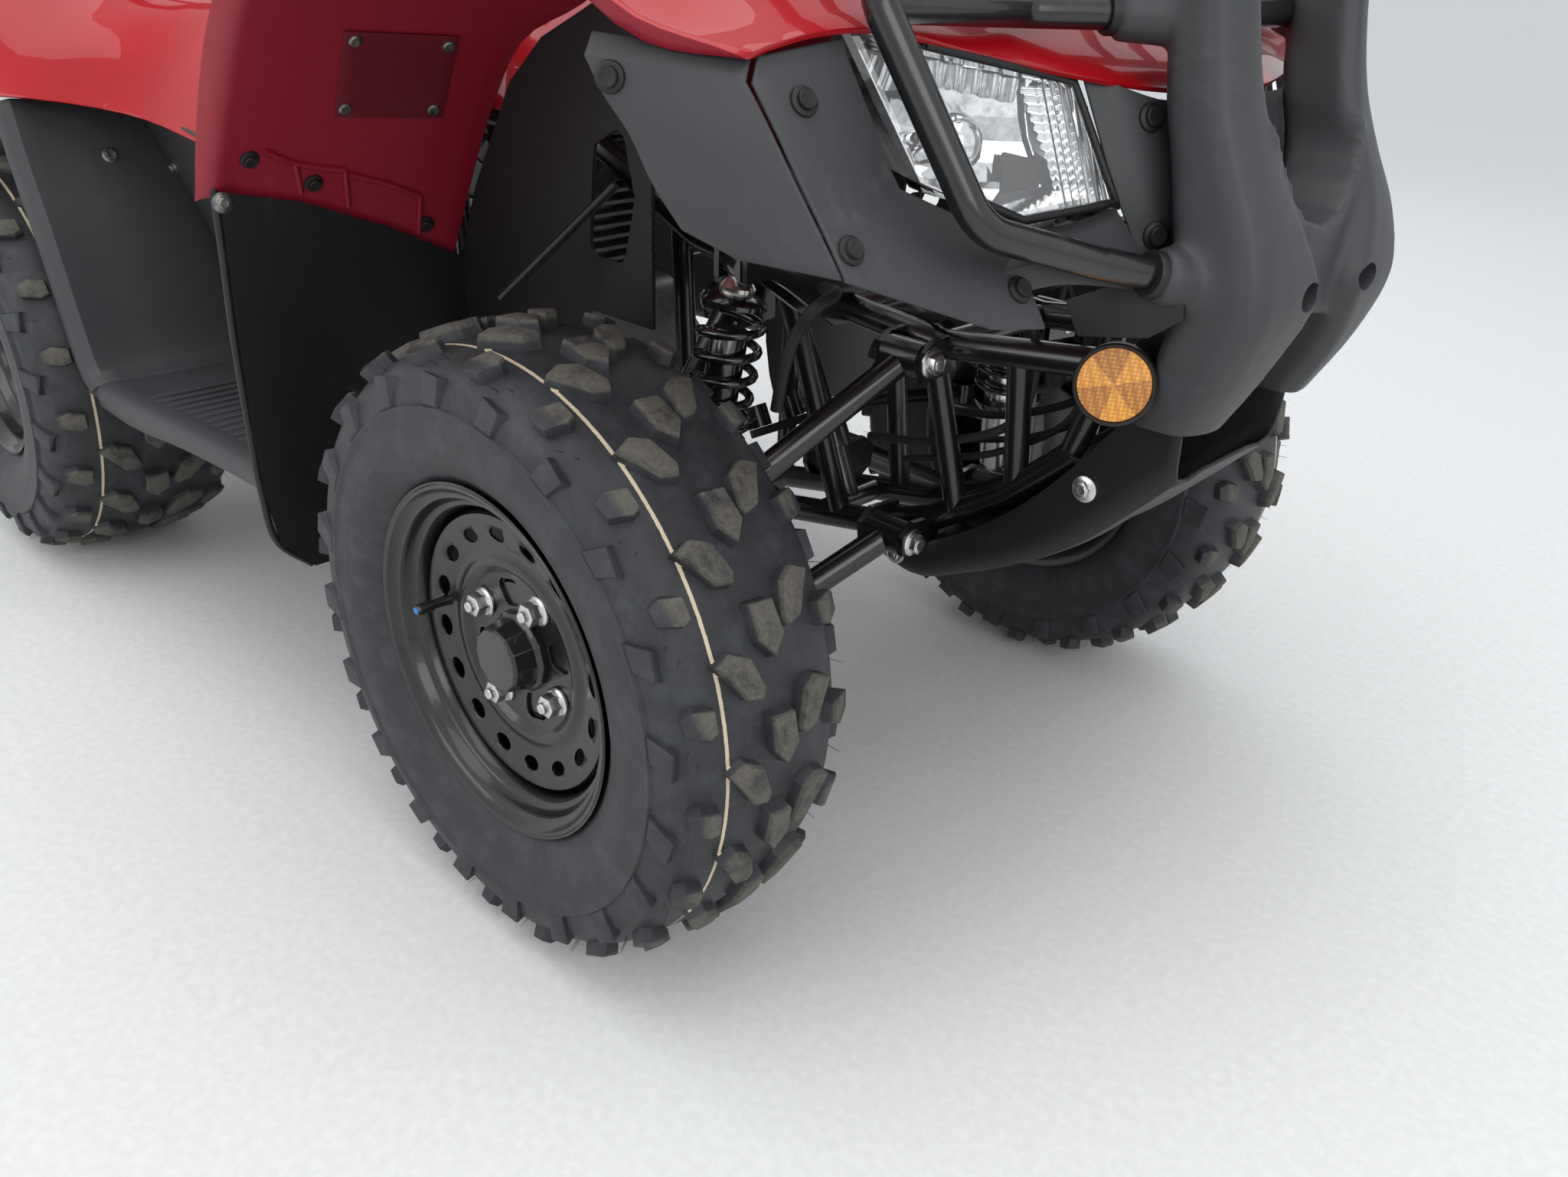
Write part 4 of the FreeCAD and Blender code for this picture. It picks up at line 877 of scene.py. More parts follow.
def cutBy(piece, cutters):
    # takes the cutters' shapes out of a piece
    cutter = together(cutters, "cutter")
    modify(piece, "BOOLEAN", operation="DIFFERENCE", object=cutter, solver="EXACT")
    gone(cutter)


def rimParts(which):
    look = rimLook[which]
    sheet = rimLook["sheet"]
    outer = [(r + sheet, y * 0.992) for r, y in look["barrel"][1:-1]]
    barrel = lathe("barrel", list(look["barrel"]) + outer[::-1], steps=72, angle=45)
    disc = lathe("disc", list(look["disc"]) + [(r, y + sheet) for r, y in reversed(look["disc"])], steps=72,
                 angle=45)
    cutters = []
    for i in range(look["holes"]):
        hole = added("cylinder", "hole", vertices=20, radius=0.5, depth=1)
        hole.scale = (*look["hole"], 0.04)
        hole.location = (0, look["hole ring"], look["hole depth"])
        turn = math.radians(look["turns"]["holes"]) + math.tau * i / look["holes"]
        settle(hole).data.transform(Matrix.Rotation(turn, 4, "Z"))
        cutters.append(hole)
    # a window's outline, in metres across and out from the axle
    window = ((-0.0065, 0.040), (0.0065, 0.040), (0.0100, 0.044), (0.0140, 0.056), (0.0130, 0.061),
              (0.0090, 0.0640), (-0.0090, 0.0640), (-0.0130, 0.061), (-0.0140, 0.056), (-0.0100, 0.044))
    for i in range(4 if which == "front" else 0):
        piece = prismOf("window", window, 0.04)
        turn = math.radians(look["turns"]["windows"] + 90 * i)
        piece.data.transform(Matrix.Rotation(turn, 4, "Z") @ Matrix.Translation((0, 0, -0.060)))
        cutters.append(piece)
    cutBy(disc, cutters)
    bevelled(disc, width=0.0006, segments=1, angle=60)
    smooth(disc, 40)
    cap = lathe("cap", look["cap"], steps=12, angle=20)
    bevelled(cap, width=0.0008, segments=2, angle=25)
    steel = [barrel, disc, lathe("drum", look["drum"], steps=48)]
    nuts, dabs = [], []
    size = rimLook["nut"]
    for i in range(4):
        turn = math.radians(look["turns"]["nuts"] + 90 * i)
        nut = prismOf("nut", hexagon(size["radius"]), size["height"], bevel=0.0012)
        washer = lathe("washer", ((0.004, 0), (size["washer"], 0), (size["washer"], 0.0022), (0.0112, 0.0040),
                                  (0.004, 0.0040)), steps=24)
        stud = lathe("stud", ((0, 0), (size["stud"], 0), (size["stud"], 0.0185), (0.0042, 0.0196),
                              (0, 0.0196)), steps=16)
        whole = together([nut, washer, stud], "nut")
        ring = rimLook["stud ring"]
        whole.data.transform(Matrix.Translation((ring * math.cos(turn), ring * math.sin(turn),
                                                 look["nut seat"] - 0.0005))
                             @ Matrix.Rotation(math.pi, 4, "X"))
        nuts.append(whole)
        if i != 1:  # one nut has no dab of paint
            dab = added("uv_sphere", "dab", segments=12, ring_count=6, radius=0.0058)
            dab.scale = (1, 0.8, 0.34)
            dab.location = (ring * math.cos(turn) - 0.004, ring * math.sin(turn) + 0.003,
                            look["nut seat"] - size["height"] - 0.0008)
            dabs.append(settle(dab))
    x, z = look["valve"]
    stem = lathe("stem", ((0, 0.004), (0.0080, 0.004), (0.0070, -0.002), (0.0048, -0.010), (0.0042, -0.022),
                          (0.0052, -0.023), (0.0052, -0.036), (0.0040, -0.039), (0, -0.039)), steps=16)
    tip = lathe("tip", ((0, -0.0385), (0.0034, -0.0385), (0.0030, -0.0402), (0, -0.0406)), steps=12)
    for piece in (stem, tip):
        moved(piece, (x, z, look["nut seat"]))
    parts = {"steel": together(steel, which + "Rim"), "cap": together([cap, stem], which + "Cap"),
             "nuts": together(nuts, which + "Nuts"), "paint": together(dabs, which + "Paint"), "tip": tip}
    for piece in parts.values():
        piece.data.transform(upright)
        smooth(piece, 40 if piece is not parts["cap"] else 22)
    return parts


def makeRims():
    looks = {"steel": (rimBlack, "rim"), "cap": (frameBlack, "rim"), "nuts": (zinc, "steel"),
             "paint": (paintDab, "red"), "tip": (valveBlue, "rim")}
    for which in wheels:
        for kind, piece in rimParts(which).items():
            material, slot = looks[kind]
            replaced = wheelNodes("rim", which) if kind == "steel" else ((), ())
            for (one, body), stands in zip(bothWheels(piece, which, which + kind.capitalize()), replaced):
                finished(one, body, material, *stands, slot=slot)
    print("rims made")


def plainFinish(name, colour, deep, roughness):
    # a dab of paint or a small plain plastic part
    finish = Finish(name, Roughness=roughness)
    cloud = finish.noise(0.004, 3, 0.6)
    finish.feed(Base_Color=finish.mix(cloud.step(0.3, 0.7), colour, deep),
                Roughness=roughness + (cloud - 0.5) * 0.2)
    return finish.material


paintDab = plainFinish("paintDab", (0.55, 0.03, 0.02, 1), (0.36, 0.02, 0.015, 1), roughness=0.4)
valveBlue = plainFinish("valveBlue", (0.02, 0.22, 0.55, 1), (0.015, 0.15, 0.42, 1), roughness=0.4)
makeRims()


# small fixings
def hexBolt(across, height, flange):
    # a bolt's head standing on Z 0
    radius = across / math.sqrt(3)
    head = prismOf("bolt", hexagon(radius), height, across * 0.05)
    dish = lathe("dish", ((0, height - 0.0006), (radius * 0.62, height - 0.0002),
                          (radius * 0.55, height + 0.0004),
                          (0, height - 0.0001)), steps=16)
    foot = lathe("flange", ((0, -0.0005), (flange, -0.0005), (flange, 0.0010), (flange - 0.0012, 0.0018),
                            (radius * 0.9, 0.0030), (0, 0.0030)), steps=28)
    return together([head, dish, foot], "bolt")


def pushCap(r):
    # a moulded push rivet: a domed flange and a raised plug with a shallow dish
    return lathe("pushCap", ((0, -0.0006), (r, -0.0006), (r, 0.0008), (r * 0.95, 0.0020), (r * 0.72, 0.0030),
                             (r * 0.66, 0.0030), (r * 0.64, 0.0055), (r * 0.58, 0.0062), (r * 0.30, 0.0060),
                             (0, 0.0056)), steps=28, angle=30)


def capsAt(piece, spots, radius):
    # push caps where the camera sees a piece, with their twins on the other side
    strikes = [seen(piece, across, down) for across, down in spots]
    return [aimed(pushCap(radius), place * flip, normal * flip)
            for place, normal in strikes if place for flip in flips]


# front fender
fenderLook = {"wall": 0.004, "hatch": ((438, 38), (586, 45), (563, 149), (426, 148)), "hatch proud": 0.0022}


def makeFrontFender():
    # columns: x from the front axle, then y and z from the rolled edge's end in to the inner edge
    rows = (
        (-372, (-486, 600), (-478, 606), (-462, 608), (-400, 590), (-310, 556), (-238, 520)),
        (-338, (-487, 668), (-480, 664), (-462, 660), (-400, 650), (-310, 622), (-236, 590)),
        (-296, (-488, 736), (-481, 728), (-462, 722), (-400, 714), (-310, 694), (-234, 668)),
        (-240, (-488, 800), (-482, 790), (-462, 786), (-400, 782), (-310, 762), (-232, 738)),
        (-150, (-488, 852), (-483, 838), (-464, 834), (-400, 830), (-310, 806), (-230, 776)),
        (-62, (-488, 872), (-484, 856), (-464, 850), (-400, 852), (-310, 838), (-230, 824)),
        (35, (-488, 876), (-484, 860), (-462, 856), (-400, 862), (-310, 866), (-230, 868)),
        (120, (-480, 838), (-474, 824), (-454, 818), (-394, 834), (-310, 846), (-228, 852)),
        (180, (-448, 788), (-440, 776), (-424, 780), (-376, 804), (-306, 818), (-226, 826)),
    )
    middle = {-62: 872, 35: 880, 120: 862, 180: 836}
    back = {-372: 14, -338: 16, -296: 16, -240: 12, -150: 6}
    grid = []
    for x, *columns in rows:
        right = [ahead(x - (back.get(x, 0) if k == 0 else 0), y, z) for k, (y, z) in enumerate(columns)]
        right += [ahead(x, -115, middle[x] - 1), ahead(x, 0, middle[x])] if x in middle else [None, None]
        grid.append(acrossBoth(right))
    edge = ((225, -412, 772), (229, -406, 770), (233, -392, 774), (238, -362, 780), (246, -326, 783),
            (276, -226, 766), (326, -112, 747), (344, 0, 742))
    grid.append(acrossBoth(allAhead(edge)))
    # the inner skin takes the darker red, a painted shade
    fender = moulding("frontFender", grid, fenderLook["wall"], steps=(4, 4), sharp=((), (2, 12)),
                      skins=(redGloss, redInsidePaintedShade))
    fixed(fender, None, "front_fender", slot="red")

    a, b, c, d = fenderLook["hatch"]
    hatch = []
    for i in range(5):
        row = []
        for k in range(6):
            s, t = k / 5, i / 4
            u = (a[0] * (1 - s) + b[0] * s) * (1 - t) + (d[0] * (1 - s) + c[0] * s) * t
            v = (a[1] * (1 - s) + b[1] * s) * (1 - t) + (d[1] * (1 - s) + c[1] * s) * t
            row.append(proudOf(fender, u, v, fenderLook["hatch proud"]))
        hatch.append(row)
    lid = moulding("hatch", hatch, thick=0.003, steps=(2, 2), facing=(1, -0.5, 0), edge=0.0009)
    screws = []
    for u, v in ((452, 50), (572, 57), (552, 138), (439, 137)):
        place, normal = seen(fender, u, v)
        screw = lathe("screw", ((0, 0), (0.0062, 0), (0.0060, 0.0016), (0.0044, 0.0028), (0.0024, 0.0028),
                                (0.0022, 0.0014), (0, 0.0014)), steps=20)
        for flip in flips:
            screws.append(copied(screw, Matrix.Translation((place + normal * 0.0014) * flip)
                                 @ (normal * flip).to_track_quat("Z", "Y").to_matrix().to_4x4()))
        gone(screw)
    # the ledge over the lower edge, and the two tabs that the clips hold
    ridges = []
    for line in (((336, 192), (376, 208), (440, 217)), ((440, 217), (444, 262)), ((376, 208), (384, 246)),
                 ((444, 222), (500, 236), (536, 250)), ((536, 250), (608, 262)), ((536, 250), (534, 296))):
        places = [place for place in (proudOf(fender, u, v, 0.0004) for u, v in line) if place]
        if len(places) > 1:
            ridges.append(hose("ridge", places, radius=0.0030, steps=3, sides=8))
    clips = capsAt(fender, ((400, 233), (543, 285), (318, 203)), radius=0.0088)
    paired([lid], "hatches", redHatch, slot="red")
    # the ridges take the darker red, a painted shade
    paired(ridges, "fenderRidges", redInsidePaintedShade, slot="red")
    fixed(together(screws, "hatchScrews"), darkZinc, slot="steel")
    fixed(together(clips, "fenderClips"), black, slot="black")
    print("front fender made")


redHatch = grained("redHatch", (0.12, 0.0035, 0.011, 1), (0.13, 0.02, 0.024, 1), roughness=0.5, grain=0.0012,
                   depth=0.00008)
darkZinc = platedMetal("darkZinc", (0.12, 0.14, 0.13, 1), roughness=0.45)
makeFrontFender()


# side panels; their caps are finished with the other fixings
sideCaps = []


def makeSidePanels():
    # columns: from the top edge down, each as x from the front axle, y, z
    arch = ((146, -456, 777.4), (150, -466, 764), (160, -461, 743), (172, -452, 722), (184, -443, 692),
            (197, -430, 664))
    bend = ((185, -431, 773.5), (191, -441, 760), (206, -437, 733), (219, -429, 706), (227, -420, 676),
            (228, -410, 648))
    seam = ((225, -399, 768.6), (231, -409, 754.4), (250, -405, 727), (267, -401, 700), (284, -396, 672),
            (299, -391.5, 646))
    frontSeam = ((227.4, -396, 768), (233.4, -406, 754), (252.4, -402.3, 727), (269.4, -398.3, 700),
                 (286.4, -393, 672),
              (301.4, -388.6, 646))
    lamp = ((238, -331, 777.2), (246, -335, 766), (259, -326, 734), (276, -312, 690), (306, -297, 650),
            (338, -280, 606))
    toe = (None, None, None, (312, -233, 654), (331, -234, 628), (351, -237, 602))
    pieces = []
    for name, rows in (("panelRear", (arch, bend, seam)), ("panelFront", (frontSeam, lamp, toe))):
        grid = [allAhead(row) for row in rows]
        pieces.append(moulding(name, grid, thick=0.0035, steps=(5, 4), sharp=((1,), (1,)), facing=(0.6, -1, 0),
                               edge=0.0016,
                               angle=22))
    rear, front = pieces
    sideCaps.extend(capsAt(rear, ((778, 98),), radius=0.0098))
    sideCaps.extend(capsAt(front, ((1025, 130), (1085, 320), (1300, 370)), radius=0.0098))
    paired(pieces, "sidePanels", charcoal, "side_panels", slot="charcoal")
    print("side panels made")


makeSidePanels()


# bumper cover
coverLook = {"voxel": 0.0034, "rounds": 7, "hole": 0.0105}


def roundedRing(rear, front, inner, outer, z):
    # a ring of ten places round a tapered section, its corners cut
    c = 9
    flat = ((rear, -inner - c), (rear + c, -inner), (front - c - 2, -inner), (front, -inner - c),
            ((front + front - 4) / 2 + 1, (-inner - outer) / 2), (front - 4, -outer + 8 + c),
            (front - 12, -outer + 3), (front - 22, -outer), (rear + 4 + c, -outer), (rear + 4, -outer + c))
    return [ahead(x, y, z) for x, y in flat]


def makeBumperCover():
    # columns: z, rear x, front x, inner half width, outer half width
    levels = ((872, 333, 380, 76, 118), (840, 332, 383, 75, 120), (800, 332, 389, 74, 120),
              (741, 340, 403, 69, 121), (700, 352, 421, 66, 122), (660, 362, 441, 52, 124),
              (612, 374, 452, 30, 126), (560, 366, 438, 50, 122),
              (505, 348, 410, 58, 112))
    rings = [roundedRing(rear, front, inner, outer, z) for z, rear, front, inner, outer in levels]
    leg = tower("leg", rings, steps=4)
    twin = copied(leg, mirror, flipped=True)
    outline = [(-0.074, 0.566), (-0.074, 0.730), (-0.064, 0.700), (-0.050, 0.678), (-0.030, 0.662),
               (0, 0.655), (0.030, 0.662), (0.050, 0.678), (0.064, 0.700), (0.074, 0.730), (0.074, 0.566),
               (0.045, 0.582), (0, 0.588), (-0.045, 0.582)]
    yoke = prismOf("yoke", outline, 0.060)
    yoke.data.transform(Matrix(((0, 0, 1, 0), (1, 0, 0, 0), (0, 1, 0, 0), (0, 0, 0, 1))))
    for point in yoke.data.vertices:
        point.co.x += frontX + 0.372 - 0.24 * max(point.co.z - 0.655, 0)
    outwards(yoke)
    bosses = []
    for low, high, radius in (((306, -133, 793), (340, -92, 793), 0.0185),
                              ((374, -142, 628.5), (400, -92, 618), 0.0205)):
        low, high = ahead(*low), ahead(*high)
        ring = lathe("boss", ((0, 0), (radius - 0.003, 0), (radius, 0.004),
                              (radius + 0.003, (high - low).length),
                              (0, (high - low).length)), steps=32)
        bosses.append(bothSides(aimed(ring, low, high - low), "boss"))
    cover = together([leg, twin, yoke] + bosses, "bumperCover")
    modify(cover, "REMESH", mode="VOXEL", voxel_size=coverLook["voxel"])
    modify(cover, "SMOOTH", factor=0.6, iterations=coverLook["rounds"])
    cutters = []
    for side in (-1, 1):
        hole = added("cylinder", "hole", vertices=24, radius=coverLook["hole"], depth=0.05)
        hole.data.transform(Matrix.Scale(1.35, 4, (1, 0, 0)))
        cutters.append(aimed(hole, ahead(438, side * 52, 616), (1, 0, -0.16)))
    cutBy(cover, cutters)
    smooth(cover, 40)
    fixed(cover, charcoal, "bumper_cover", slot="charcoal")
    collars = []
    for place, direction, radius in (((305, -134, 793), (3, 5, 0), 0.0150),
                                     ((373, -144, 629), (49, 119, -28), 0.0168)):
        ring = lathe("collar", ((0.0112, -0.005), (radius - 0.001, -0.005), (radius, -0.003), (radius, 0.006),
                                (0.0112, 0.006)), steps=32)
        collars.append(aimed(ring, ahead(*place), direction))
    paired(collars, "bumperCollars", black, slot="black")
    print("bumper cover made")


makeBumperCover()


# reflectors
def makeReflectors():
    out = Vector((0.42, -1, 0.16)).normalized()
    centre = ahead(352, -134, 541)
    disc = lathe("disc", ((0, -0.004), (0.0282, -0.004), (0.0282, 0.0012), (0.0274, 0.0022), (0.0060, 0.0026),
                          (0, 0.0036)), steps=48)
    disc.data.materials.append(amber)
    # alternate sixths of the disc take a paler copy of the amber prisms, a painted highlight
    disc.data.materials.append(amberPaintedHighlight)
    for face in disc.data.polygons:
        turn = math.degrees(math.atan2(face.center.y, face.center.x)) % 120
        face.material_index = int(turn < 60)
    rim = lathe("rim", ((0.0276, -0.010), (0.0312, -0.010), (0.0312, 0.0020), (0.0300, 0.0034),
                        (0.0286, 0.0034), (0.0276, 0.0018)), steps=48)
    spokes = []
    for k in range(6):
        bar = prismOf("bar", ((0.003, -0.0004), (0.0275, -0.0006), (0.0275, 0.0006), (0.003, 0.0004)), 0.0008)
        bar.data.transform(Matrix.Rotation(math.tau * k / 6, 4, "Z") @ Matrix.Translation((0, 0, 0.0020)))
        spokes.append(bar)
    for piece, name, material, slot in ((disc, "reflectorFace", None, "amber"),
                                        (rim, "reflectorRim", black, "black"),
                                        (together(spokes, "spokes"), "reflectorBars", amber, "black")):
        fixed(bothSides(aimed(piece, centre, out, turn=0.26), name), material, slot=slot)
    nodes["reflectors"].data.materials[0] = black


# a paler copy of the amber for alternate sectors of the reflector, a painted highlight
amberPaintedHighlight = amberPrisms("amberPaintedHighlight", (0.92, 0.42, 0.03, 1), (0.60, 0.22, 0.008, 1))
makeReflectors()


# front dampers
damperLook = {"start": 0.107, "wire": 0.0042, "coil": 0.0272, "turns": 8, "pitch": 0.0212}


def makeShock(foot, head, which):
    length = (head - foot).length
    silver = lathe("silver", ((0, 0.012), (0.014, 0.012), (0.0185, 0.020), (0.0185, 0.150), (0.0172, 0.154),
                              (0, 0.154)), steps=32)
    top = lathe("top", ((0, length - 0.026), (0.0150, length - 0.026), (0.0165, length - 0.018),
                        (0.0100, length - 0.008), (0, length - 0.008)), steps=28)
    sleeve = lathe("sleeve", ((0, 0.15), (0.0168, 0.15), (0.0168, 0.262), (0.0150, 0.266), (0, 0.266)),
                   steps=32)
    seats = [lathe("seat", ((0.0172, 0.094), (0.0265, 0.094), (0.0290, 0.099), (0.0290, 0.103),
                            (0.0172, 0.104)), steps=32),
             lathe("cup", ((0, length - 0.034), (0.0285, length - 0.034), (0.0290, length - 0.030),
                           (0.0200, length - 0.024), (0, length - 0.022)), steps=32)]
    wire, turns = damperLook["wire"], [math.tau * k / 10 for k in range(10)]
    coil = outlined("coil", [(damperLook["coil"] + wire * math.cos(turn), 0,
                              damperLook["start"] + wire * math.sin(turn))
                             for turn in turns])
    modify(coil, "SCREW", axis="Z", angle=math.tau, screw_offset=damperLook["pitch"],
           iterations=damperLook["turns"],
           steps=22, render_steps=22, use_merge_vertices=False)
    outwards(coil)
    smooth(coil, 60)
    eyes = [lathe("eye", ((0, -0.016), (0.0135, -0.016), (0.0135, 0.016), (0, 0.016)), steps=24)
            for _ in range(2)]
    for eye, height in zip(eyes, (0, length)):
        eye.data.transform(Matrix.Translation((0, 0, height)) @ Matrix.Rotation(math.radians(90), 4, "Y"))
    dark = together([sleeve, coil] + seats + eyes, which + "Spring")
    bright = together([silver, top], which + "Damper")
    for piece in (dark, bright):
        aimed(piece, foot, head - foot)
        smooth(piece, 40)
    return dark, bright


def makeShocks():
    dark, bright = makeShock(ahead(3, -250, 262), ahead(22, -203, 578), "front")
    paired([dark], "frontSprings", springBlack, "front_shocks", slot="damper")
    paired([bright], "frontDampers", brightAlloy, slot="steel")
    dark, bright = makeShock(astern(130, -46, 404), astern(270, -46, 638), "rear")
    fixed(dark, springBlack, "rear_shock", slot="damper")
    fixed(bright, brightAlloy, slot="steel")
    print("dampers made")


brightAlloy = platedMetal("brightAlloy", (0.62, 0.61, 0.58, 1), roughness=0.24)
makeShocks()


# cables in the front frame, bolts at the pivots and the skid plate, side caps and brake hoses
def makeFixings():
    lines = (
        ((150, -60, 640), (196, -84, 600), (236, -70, 548), (230, -62, 470), (150, -58, 420), (60, -60, 400)),
        ((120, -96, 640), (150, -120, 600), (158, -96, 552), (120, -60, 530), (40, -50, 520)),
        ((250, -60, 600), (270, -40, 540), (262, -30, 470), (200, -34, 420), (90, -40, 380)),
    )
    cables = [hose("cable", allAhead(line), radius, steps=6, sides=10)
              for line, radius in zip(lines, (0.0042, 0.0052, 0.0034))]
    paired(cables, "frameCables", gripRubber, slot="grip")
    pivot = {"across": 0.017, "height": 0.009, "flange": 0.0135}
    small = {"across": 0.013, "height": 0.006, "flange": 0.0115}
    # columns: place, the way its head faces, size
    spots = ((163.5, 110, 508, 1, 0, pivot), (141.5, 84, 322, 1, 0, pivot), (-112.5, 110, 508, -1, 0, pivot),
             (112, 71.5, 297, 0, 1, small), (312, 82.5, 430, 0, 1, small))
    bolts = [aimed(hexBolt(**size), ahead(x, side * y, z), (forward, side * out, 0), turn=0.3)
             for side in (-1, 1) for x, y, z, forward, out, size in spots]
    fixed(together(bolts, "bolts"), zinc, slot="steel")
    fixed(together(sideCaps, "pushCaps"), black, slot="black")
    line = ((70, -150, 560), (112, -186, 566), (110, -200, 561), (94, -205, 538), (86, -212, 505),
            (80, -214, 466))
    paired([hose("hose", allAhead(line), radius=0.0055, steps=6, sides=12)], "brakeHoses", gripRubber,
           slot="grip")


makeFixings()


# lamps: each has its own axes, across and down its front, and depth behind it
lampLook = {"start": (235, -322, 782.5), "across": (62, 166, -32), "down": (38, 17, -81),
            "ahead": (0.893, -0.264, 0.364)}


def inLamp(u, v, depth):
    start, across, down, out = [Vector(lampLook[key]) for key in ("start", "across", "down", "ahead")]
    return ahead(*(start + across * u + down * v - out * depth))


def makeLampInsides():
    outline = ((0.30, 0.02), (0.98, 0.03), (0.985, 0.98), (0.46, 1.27), (0.20, 1.14))
    border = []
    for (u0, v0), (u1, v1) in zip(outline, outline[1:]):
        border += [inLamp(u0 + (u1 - u0) * k / 6, v0 + (v1 - v0) * k / 6, -1.6) for k in range(6)]
    paired([hose("lampRim", border, radius=0.0034, steps=1, sides=8)], "lampRims", black, slot="black")
    # the bowl's facets: a coarse curved grid, flat faced, round a bulb shield
    def inBowl(u, v):
        return inLamp(u, v, max(52 - 60 * ((u - 0.42) ** 2 * 2.6 + (v - 0.6) ** 2 * 0.9), 14))

    bowl = [[inBowl(0.12 + 0.64 * k / 8, 0.13 + 0.90 * i / 5) for k in range(9)] for i in range(6)]
    facets = moulding("facets", bowl, thick=0.0012, steps=(1, 1), facing=(1, -0.3, 0), edge=0, angle=2)
    def inBand(u, v, depth, proud):
        return inLamp(u, v, depth + (1.4 if proud else -1.0))

    band = [[inBand(0.80 + 0.16 * k / 4, 0.08 + 0.88 * i / 48, 24 - 12 * k / 4, i % 4 in (1, 2))
             for k in range(5)] for i in range(49)]
    flutes = moulding("flutes", band, thick=0.0012, steps=(1, 1), facing=(1, -0.3, 0), edge=0, angle=50)
    scallops = [[inLamp(0.14 + 0.62 * k / 60, 0.06 + 0.05 * i, 16 + 4 * i + 1.6 * math.sin(math.tau * k / 8.6))
                 for k in range(61)] for i in range(4)]
    crown = moulding("crown", scallops, thick=0.0012, steps=(1, 1), facing=(1, -0.3, 0), edge=0, angle=60)
    shield = lathe("shield", ((0, -0.004), (0.019, -0.004), (0.021, 0.004), (0.019, 0.022), (0.012, 0.030),
                              (0, 0.033)), steps=28)
    aimed(shield, inLamp(0.42, 0.6, 50), lampLook["ahead"])
    paired([facets, flutes, crown, shield], "lampInsides", chrome, slot="lamp")
    print("lamps made")


makeLampInsides()


# nose: the cowl between the lamps, and the ledge under each lamp
def makeCowl():
    rows = (
        ((298, -152, 758), (320, -130, 747), (334, -102, 739), (340, -50, 737), (342, 0, 737)),
        ((316, -146, 716), (336, -124, 707), (346, -99, 702), (352, -50, 700), (353, 0, 700)),
        ((333, -139, 676), (350, -117, 668), (358, -93, 664), (364, -50, 662), (365, 0, 662)),
        ((344, -128, 648), (358, -106, 640), (367, -70, 636), (371, -40, 634), (372, 0, 634)),
        ((352, -122, 622), (366, -100, 612), (374, -66, 604), (379, -40, 598), (380, 0, 596)),
    )
    face = moulding("face", [acrossBoth(allAhead(row)) for row in rows], thick=0.003, steps=(3, 3),
                    sharp=((), (1, 7)), facing=(1, 0, 0), angle=24)
    ledge = (
        ((300, -262, 652), (310, -214, 656), (320, -172, 660), (332, -136, 668)),
        ((319, -264, 634), (335, -213, 642), (348, -172, 640), (360, -130, 634)),
        ((321, -260, 618), (338, -209, 624), (351, -170, 620), (363, -128, 612)),
    )
    shelf = moulding("shelf", [allAhead(row) for row in ledge], thick=0.003, steps=(3, 4), sharp=((1,), ()),
                     facing=(1, -1, 1), angle=24)
    slats = [hose("slat", (inLamp(1.05, v, 20), inLamp(1.16, v, 26)), radius=0.0026, steps=1, sides=6)
             for v in (0.1, 0.3, 0.5, 0.7, 0.9)]
    back = prismOf("back", ((0, 0), (0.030, 0), (0.030, 0.088), (0, 0.088)), 0.003)
    aimed(back, inLamp(1.02, 1.02, 34), lampLook["ahead"], turn=1.35)
    paired(slats + [back], "lampSlats", black, slot="black")
    cowl = together([face, bothSides(shelf, "shelves")], "cowl")
    fixed(cowl, charcoal, "front_cowl", slot="charcoal")
    caps = capsAt(cowl, ((1468, 150), (1474, 300)), radius=0.0105)
    if caps:
        fixed(together(caps, "noseCaps"), black, slot="black")
    print("cowl made")


makeCowl()


# skid plate
def makeSkid():
    # columns: x from the front axle, top z, half width, low z, floor half width, floor z
    rows = ((93, 300, 68, 286, 55, 279), (122, 308, 71, 284, 57, 274), (190, 344, 74, 312, 60, 300),
            (258, 398, 76, 350, 64, 338), (307, 452, 80, 388, 68, 374), (352, 504, 86, 432, 74, 418),
            (392, 520, 92, 474, 82, 460))
    grid = [acrossBoth([ahead(x - 4, -half - 1, top), ahead(x, -half, (top + low) / 2),
                        ahead(x, -half + 3, low),
                        ahead(x, -foot, floor), ahead(x, -foot / 2, floor - 1), ahead(x, 0, floor - 1)])
            for x, top, half, low, foot, floor in rows]
    skid = moulding("skidPlate", grid, thick=0.004, steps=(4, 2), facing=(0.5, 0, -1), edge=0.0014)
    fixed(skid, black, "skid_plate", slot="black")


makeSkid()
